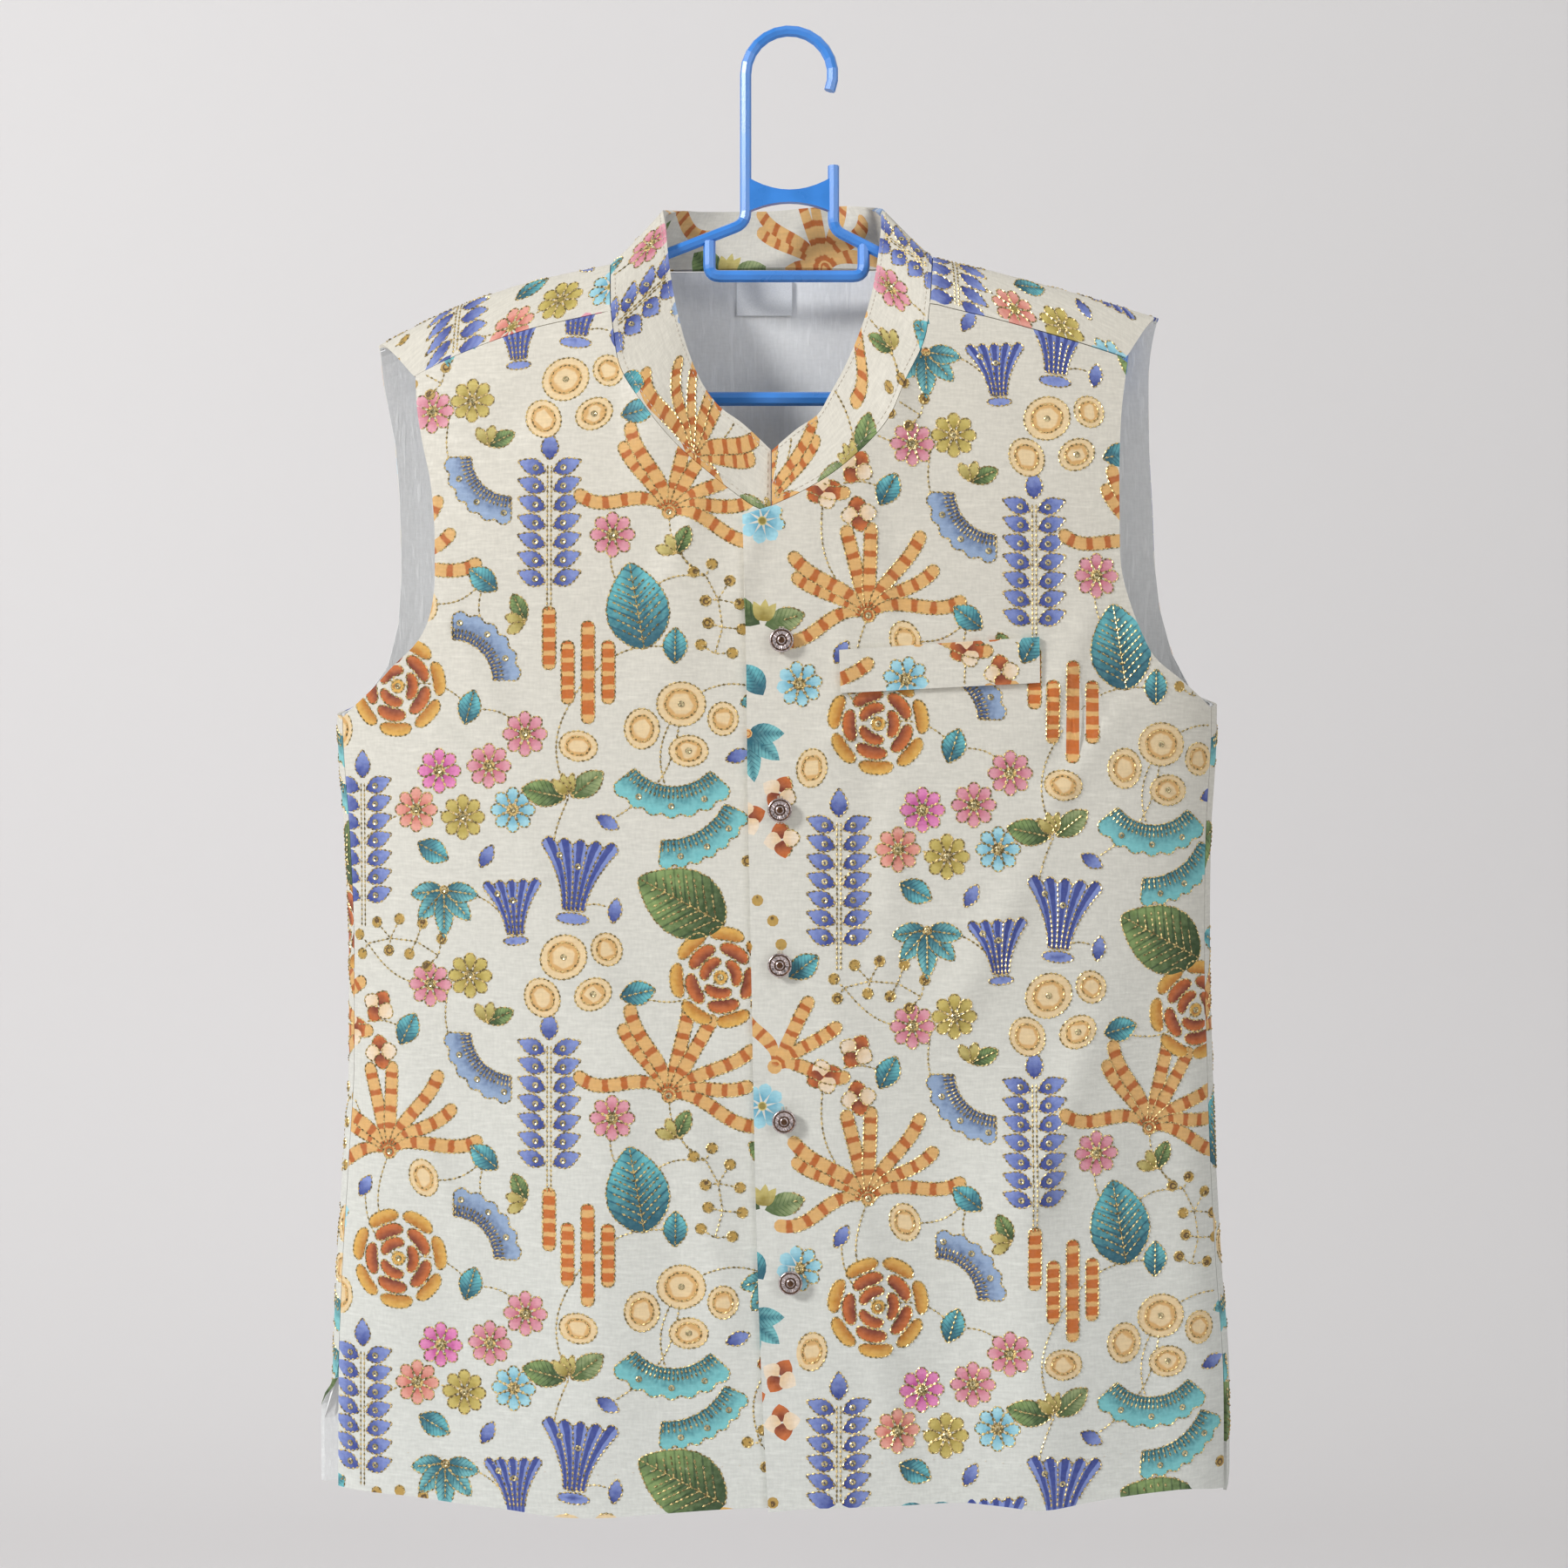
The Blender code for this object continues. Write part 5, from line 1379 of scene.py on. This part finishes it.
def paint(tree, color, roughness, relief=None, strength=0.0, distance=0.0):
    """Feeds the shader its colour, its roughness and, where it has one, its fine relief."""
    shader = tree.nodes["Principled BSDF"]
    feed(tree, shader.inputs["Base Color"], color)
    feed(tree, shader.inputs["Roughness"], roughness)
    if relief:
        inputs = {"Strength": strength, "Distance": distance, "Height": relief}
        feed(tree, shader.inputs["Normal"], wire(tree, "Bump", 0, inputs))


def darkened(color, share):
    return tuple(share * value for value in color)


def printed_silk(settings, weave, dye):
    gloss = {"Sheen_Weight": 0.04, "Sheen_Roughness": 0.4, "Specular_IOR_Level": 0.25}
    finish, tree = new_finish("Printed silk", **gloss)
    cloth = wire(tree, "UVMap", uv_map="cloth")
    woven = use_group(tree, weave, Vector=cloth, Slub=settings.slub)
    # Painted light: the ground colour is warmer towards the chest and cooler towards the hem, standing in
    # for how the light falls down the jacket.
    fall = wire(tree, "TexCoord", "Object").parts()[2].ramp(-0.62, -0.15)
    ground = blend(tree, fall, settings.ground_low_with_painted_light, settings.ground_top_with_painted_light)
    dyes = {
        name: wire(tree, "Attribute", output, attribute_name="dye_" + name.lower())
        for name, output in (("Deep", "Color"), ("Pale", "Color"), ("Place", "Vector"))
    }
    printed = use_group(tree, dye, Cloth=cloth, Ground=ground, **dyes)
    shade = blend(tree, woven["Tone"], (0.8, 0.8, 0.8), (1.06, 1.06, 1.06))
    color = blend(tree, 1.0, printed["Color"], shade, "MULTIPLY")
    paint(tree, color, woven["Tone"].ramp(0.2, 0.9, 0.62, 0.42), woven["Height"], 0.55, 0.0003)
    return finish


def lining_cotton(settings, weave, on_flat):
    """The lining, woven over a panel's flat places or, on the part's own solid, over x and height."""
    finish, tree = new_finish("Lining cotton", Sheen_Weight=0.1)
    if on_flat:
        vector = wire(tree, "UVMap", uv_map="cloth")
    else:
        turn = (math.radians(-90), 0, math.radians(90))
        vector = wire(tree, "TexCoord", "Object")
        vector = wire(tree, "Mapping", 0, {"Rotation": turn, "Vector": vector})
    woven = use_group(tree, weave, Vector=vector, Slub=1.0)
    color = blend(tree, woven["Tone"], darkened(settings.lining, 0.86), settings.lining)
    paint(tree, color, woven["Tone"].ramp(0.2, 0.9, 0.9, 0.75), woven["Height"], 0.4, 0.0003)
    return finish


def metal(name, color, roughness, scale, spread, dark, metallic=1.0):
    """A metal whose shine and colour vary from place to place, down to a darker share of the colour. On the
    gold thread the spread is wide and its bright spots are painted glints.
    """
    finish, tree = new_finish(name, Metallic=metallic)
    grain_and_glints = noise(tree, wire(tree, "TexCoord", "Object"), scale)
    color = blend(tree, grain_and_glints.ramp(0.38, 0.62), darkened(color, dark), color)
    paint(tree, color, grain_and_glints.ramp(0.3, 0.7, roughness - spread, roughness + spread))
    return finish


def plastic(name, color):
    finish, tree = new_finish(name, Coat_Weight=0.3, Coat_Roughness=0.15)
    where = wire(tree, "TexCoord", "Object")
    flow = noise(tree, where, 60.0, 3.0)
    color = blend(tree, flow.ramp(0.35, 0.65), darkened(color, 0.86), color)
    paint(tree, color, flow.ramp(0.3, 0.7, 0.26, 0.36), noise(tree, where, 1500.0), 0.12, 0.0002)
    return finish


def thread_finish(name, color):
    finish, tree = new_finish(name, Sheen_Weight=0.2)
    twist = noise(tree, wire(tree, "TexCoord", "Object"), 1800.0, 1.0)
    paint(tree, blend(tree, twist, darkened(color, 0.8), color), twist.ramp(0.3, 0.7, 0.5, 0.7))
    return finish


# Settings


def colour(name, description, *screen):
    return bpy.props.FloatVectorProperty(
        name=name, description=description, subtype="COLOR", size=3, min=0, max=1, default=srgb(*screen)
    )


class JacketClothSettings(bpy.types.PropertyGroup):
    # Both ground colours carry painted light: warmer at the chest and cooler near the hem, as the light
    # falls.
    ground_top_with_painted_light: colour("Ground, upper", "The silk's colour at the chest", 224, 219, 206)
    ground_low_with_painted_light: colour("Ground, lower", "The silk's colour near the hem", 222, 224, 218)
    lining: colour("Lining", "The cotton lining's colour", 246, 247, 247)
    gold: colour("Gold thread", "The colour of the running stitches", 240, 214, 150)
    slub: bpy.props.FloatProperty(
        name="Slub", description="How much the thicker threads show", min=0, max=1, default=0.25
    )


class JacketTrimSettings(bpy.types.PropertyGroup):
    silver: colour("Buttons", "The buttons' metal", 214, 200, 200)
    button_radius: bpy.props.FloatProperty(
        name="Button radius", description="From the middle to the rim", unit="LENGTH",
        default=BUTTON_RADIUS * MM,
    )
    hanger: colour("Hanger", "The hanger's moulded plastic", 62, 140, 228)


class JacketStageSettings(bpy.types.PropertyGroup):
    wall: colour("Backdrop", "The wall and floor", 228, 226, 226)
    light: bpy.props.FloatProperty(
        name="Light", description="Strength of the main light", min=0, default=140.0
    )
    camera_distance: bpy.props.FloatProperty(
        name="Camera distance", description="From the garment to the lens", unit="LENGTH", default=0.9
    )


# Each panel's face, outline, the repeat's corner on it, its side, thickness, spacing of points, and lining
PANEL_ROWS = {
    "right_front_cloth": (under_front, right_front_outline, (-196.0, -620.0), FORWARD, CLOTH, 4.2, True),
    "left_front_cloth": (over_front, left_front_outline, (2.0, -636.0), FORWARD, CLOTH, 4.2, True),
    "back_cloth": (back_surface, back_outline, (-150.0, -600.0), BACKWARD, CLOTH, 7.0, True),
    "collar_band": (collar_surface, collar_outline, (10.0, -150.0), FORWARD, BAND, 4.0, False),
    "pocket_welt_cloth": (welt_surface, welt_outline, (60.0, -700.0), FORWARD, CLOTH, 4.0, True),
}
PANELS = {name: Panel(name, face, cut(), *rest) for name, (face, cut, *rest) in PANEL_ROWS.items()}
REPLACED = {
    "right_front_cloth": "front_right",
    "left_front_cloth": "front_left",
    "back_cloth": "back",
    "collar_band": "collar",
    "pocket_welt_cloth": "pocket_welt",
}
FINISHES = {}


def on_bare_strip(points):
    """Which points lie on the plain strip along the left front's free edge."""
    x, heights = np.transpose(FREE_EDGE)
    return points.real < smooth_value(heights, x, points.imag) + BARE_STRIP


def nowhere(points):
    return np.zeros(points.shape, bool)


class JACKET_OT_finishes(bpy.types.Operator):
    """Mix the finishes that the pieces share"""

    bl_idname = "jacket.finishes"
    bl_label = "Mix Finishes"

    def execute(self, context):
        cloth, trim = context.scene.jacket_cloth, context.scene.jacket_trim
        weave, dye = weave_group(), dye_group()
        FINISHES["silk"] = printed_silk(cloth, weave, dye)
        FINISHES["lining"] = lining_cotton(cloth, weave, True)
        FINISHES["lining_node"] = lining_cotton(cloth, weave, False)
        # The gold thread's colour runs from about a quarter of its colour up to the full colour: painted
        # glints among darker stitches.
        FINISHES["gold"] = metal("Gold thread", cloth.gold, 0.34, 800.0, 0.14, 0.26, 0.6)
        FINISHES["sequin"] = metal("Sequins", srgb(222, 206, 160), 0.26, 700.0, 0.08, 0.5, 0.7)
        FINISHES["silver"] = metal("Button silver", trim.silver, 0.32, 1200.0, 0.08, 0.62)
        FINISHES["bronze"] = metal("Button grooves", srgb(112, 84, 66), 0.45, 1200.0, 0.08, 0.62)
        FINISHES["thread"] = thread_finish("Ivory thread", srgb(222, 212, 196))
        FINISHES["label"] = thread_finish("Label satin", srgb(236, 238, 240))
        FINISHES["plastic"] = plastic("Hanger plastic", trim.hanger)
        return {"FINISHED"}


class JACKET_OT_panels(bpy.types.Operator):
    """Cut, print and embroider the silk panels"""

    bl_idname = "jacket.panels"
    bl_label = "Make Panels"

    def execute(self, context):
        for name, panel in PANELS.items():
            piece = make_panel(panel, (FINISHES["silk"], FINISHES["lining"]))
            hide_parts(REPLACED[name])
            bare = on_bare_strip if name == "left_front_cloth" else nowhere
            for extra in embroider(panel, FINISHES["gold"], FINISHES["sequin"], bare):
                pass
        return {"FINISHED"}


class JACKET_OT_topstitching(bpy.types.Operator):
    """Sew the ivory topstitching and the buttonholes"""

    bl_idname = "jacket.topstitching"
    bl_label = "Sew Topstitching"

    def execute(self, context):
        low, high = 1.8, 22.4
        left, right = low, COLLAR_STATIONS[-1] - low
        feet, tops = (complex(left, low), complex(right, low)), (complex(left, high), complex(right, high))
        sides = ((feet[0], tops[0]), tops, (tops[1], feet[1]), feet)
        self.sew("collar_topstitch", PANELS["collar_band"], sides, 2.6, 2.0)
        for name, rows in (("right_front_cloth", RIGHT_HEM), ("left_front_cloth", LEFT_HEM)):
            hem = [complex(x, z + 18) for x, z in rows[1:-1]]
            self.sew(name + "_hemming", PANELS[name], [hem], 7.0, 0.9)
        holes = [
            (complex(spot.x, height), complex(spot.x + side * 1.3, height))
            for spot in BUTTON_PLACES
            for side in (-1, 1)
            for height in spot.height + np.arange(-5.4, 5.6, 0.42)
        ]
        self.sew("buttonholes", PANELS["left_front_cloth"], holes, 3.0, 1.3, 0.45)
        return {"FINISHED"}

    def sew(self, name, panel, lines, pitch, length, width=0.42):
        middles, runs = joined([dashes(line, pitch, length) for line in lines])
        piece = sewn(name, panel, middles, runs, thread_shape(width, 0.26), FINISHES["thread"])


class JACKET_OT_lining(bpy.types.Operator):
    """Finish the back's lining and the neck label"""

    bl_idname = "jacket.lining"
    bl_label = "Finish Lining and Label"

    def execute(self, context):
        solids = {"back_lining": "lining_node", "neck_label": "label", "hanger": "plastic"}
        for node, finish in solids.items():
            shown = frame["nodes"][node]
            shown.data.materials.clear()
            shown.data.materials.append(FINISHES[finish])
        return {"FINISHED"}


# A button's turned profile, as shares of its radius: reach and height, from the shank's foot up
BUTTON_PROFILE = (
    (0.0, 0.0), (0.3, 0.0), (0.3, 0.3), (0.78, 0.4), (0.95, 0.46), (1.0, 0.54), (1.0, 0.62), (0.96, 0.69),
    (0.88, 0.72), (0.8, 0.68), (0.76, 0.66), (0.48, 0.7), (0.44, 0.67), (0.38, 0.67), (0.34, 0.74),
    (0.26, 0.8), (0.0, 0.82),
)
BUTTON_WAVES = ((0.45, 0.78, 0.045, 12), (0.85, 1.01, 0.025, 24))  # from and to, how high, and how many
BUTTON_GROOVES = ((-1, 0.2), (0.36, 0.46), (0.76, 0.84))  # the rings in a darker metal


def button_shape(radius):
    """A turned button: shank, flared back, rolled rim, an engraved ring and a small raised centre."""
    shape = bmesh.new()
    verts = [shape.verts.new((r * radius, 0, h * radius)) for r, h in BUTTON_PROFILE]
    geometry = verts + [shape.edges.new(pair) for pair in zip(verts, verts[1:])]
    full = {"cent": (0, 0, 0), "axis": (0, 0, 1), "angle": math.tau, "steps": 48}
    bmesh.ops.spin(shape, geom=geometry, use_merge=True, **full)
    bmesh.ops.remove_doubles(shape, verts=shape.verts, dist=1e-6)
    for vert in shape.verts:
        reach, around = vert.co.xy.length / radius, math.atan2(vert.co.y, vert.co.x)
        if vert.co.z > 0.6 * radius:
            for inner, outer, high, count in BUTTON_WAVES:
                if inner < reach < outer:
                    vert.co.z += high * radius * math.sin(count * around)
    bmesh.ops.recalc_face_normals(shape, faces=shape.faces)
    for face in shape.faces:
        middle = face.calc_center_median()
        reach = middle.xy.length / radius
        if middle.z > 0.5 * radius and any(inner < reach < outer for inner, outer in BUTTON_GROOVES):
            face.material_index = 1
    return shape


class JACKET_OT_buttons(bpy.types.Operator):
    """Turn the metal buttons and set them on the front"""

    bl_idname = "jacket.buttons"
    bl_label = "Set Buttons"

    def execute(self, context):
        for number, spot in enumerate(BUTTON_PLACES, 1):
            flat = np.array([spot])
            normal = Vector(normals_of(over_front, flat, FORWARD, BUTTON_REACH)[0])
            middle = Vector(over_front(flat)[0]) + normal * LAID_GAP
            shape = button_shape(context.scene.jacket_trim.button_radius)
            turn = Matrix.Translation(middle * MM) @ normal.to_track_quat("Z", "Y").to_matrix().to_4x4()
            bmesh.ops.transform(shape, matrix=turn, verts=shape.verts)
            piece = made(f"metal_button_{number}", shape, (FINISHES["silver"], FINISHES["bronze"]), 60)
            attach(piece, BODY)
            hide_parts(f"button_{number}")
        return {"FINISHED"}


class JACKET_OT_stage(bpy.types.Operator):
    """Set the backdrop, the lights and the camera"""

    bl_idname = "jacket.stage"
    bl_label = "Set Stage"

    def execute(self, context):
        settings = context.scene.jacket_stage
        self.set_backdrop(settings.wall)
        lamps = (
            ("key", (-3.1, -2.3, 1.6), 0.9, settings.light),
            ("fill", (1.7, -1.8, 0.3), 1.2, settings.light * 0.1),
            ("wall", (0.7, -0.6, 1.9), 2.0, settings.light * 0.08),
        )
        for name, place, size, power in lamps:
            lamp = bpy.data.lights.new(name, "AREA")
            lamp.size, lamp.energy = size, power
            holder = bpy.data.objects.new(name, lamp)
            holder.location = place
            aim = Vector((0, 0, -0.35)) - holder.location
            holder.rotation_euler = aim.to_track_quat("-Z", "Y").to_euler()
            context.scene.collection.objects.link(holder)
        world = bpy.data.worlds.new("soft room")
        world.use_nodes = True
        background = world.node_tree.nodes["Background"].inputs
        background["Color"].default_value = (1.0, 1.0, 1.0, 1.0)
        background["Strength"].default_value = 0.2
        context.scene.world = world
        context.scene.view_settings.view_transform = "Standard"
        camera = bpy.data.objects.new("camera", bpy.data.cameras.new("camera"))
        distance = settings.camera_distance
        camera.location = (CAMERA_X * MM, -distance, CAMERA_HEIGHT * MM)
        camera.rotation_euler = (math.radians(90), 0, 0)
        camera.data.sensor_fit = "HORIZONTAL"
        camera.data.angle = 2 * math.atan(FRAME_WIDTH * MM / 2 / distance)
        context.scene.collection.objects.link(camera)
        context.scene.camera = camera
        return {"FINISHED"}

    def set_backdrop(self, color):
        """A floor that curves up into the wall, 8 m wide."""
        sweep = bmesh.new()
        bend = np.linspace(0.1, math.pi / 2, 12)
        profile = [(-3.0, -0.95), (0.9, -0.95)]
        profile += [(0.9 + 0.5 * math.sin(a), -0.45 - 0.5 * math.cos(a)) for a in bend]
        profile.append((1.4, 3.0))
        verts = [sweep.verts.new((-4.0, y, z)) for y, z in profile]
        edges = [sweep.edges.new(pair) for pair in zip(verts, verts[1:])]
        grown = bmesh.ops.extrude_edge_only(sweep, edges=edges)["geom"]
        ends = [part for part in grown if isinstance(part, bmesh.types.BMVert)]
        bmesh.ops.translate(sweep, vec=(8.0, 0, 0), verts=ends)
        finish, tree = new_finish("Backdrop paint")
        paint(tree, (*color, 1.0), 0.95)
        backdrop = made("backdrop", sweep, [finish])


class JACKET_PT_panel(bpy.types.Panel):
    """Sizes, colours and steps of the jacket"""

    bl_label = "Jacket"
    bl_space_type = "VIEW_3D"
    bl_region_type = "UI"
    bl_category = "Jacket"

    def draw(self, context):
        for name in SETTINGS:
            group = getattr(context.scene, name)
            for key in group.bl_rna.properties.keys():
                if key not in ("rna_type", "name"):
                    self.layout.prop(group, key)
        for operator in OPERATORS:
            self.layout.operator(operator.bl_idname)


OPERATORS = (
    JACKET_OT_finishes,
    JACKET_OT_panels,
    JACKET_OT_topstitching,
    JACKET_OT_lining,
    JACKET_OT_buttons,
    JACKET_OT_stage,
)
SETTINGS = {
    "jacket_cloth": JacketClothSettings,
    "jacket_trim": JacketTrimSettings,
    "jacket_stage": JacketStageSettings,
}


def register():
    for kind in (*SETTINGS.values(), *OPERATORS, JACKET_PT_panel):
        bpy.utils.register_class(kind)
    for name, kind in SETTINGS.items():
        setattr(bpy.types.Scene, name, bpy.props.PointerProperty(type=kind))


def unregister():
    for name in SETTINGS:
        delattr(bpy.types.Scene, name)
    for kind in (JACKET_PT_panel, *reversed(OPERATORS), *SETTINGS.values()):
        bpy.utils.unregister_class(kind)


def main():
    register()
    for operator in (
        bpy.ops.jacket.finishes,
        bpy.ops.jacket.panels,
        bpy.ops.jacket.topstitching,
        bpy.ops.jacket.lining,
        bpy.ops.jacket.buttons,
        bpy.ops.jacket.stage,
    ):
        if operator() != {"FINISHED"}:
            raise RuntimeError(f"{operator.idname()} did not finish")


if __name__ == "__main__":
    main()
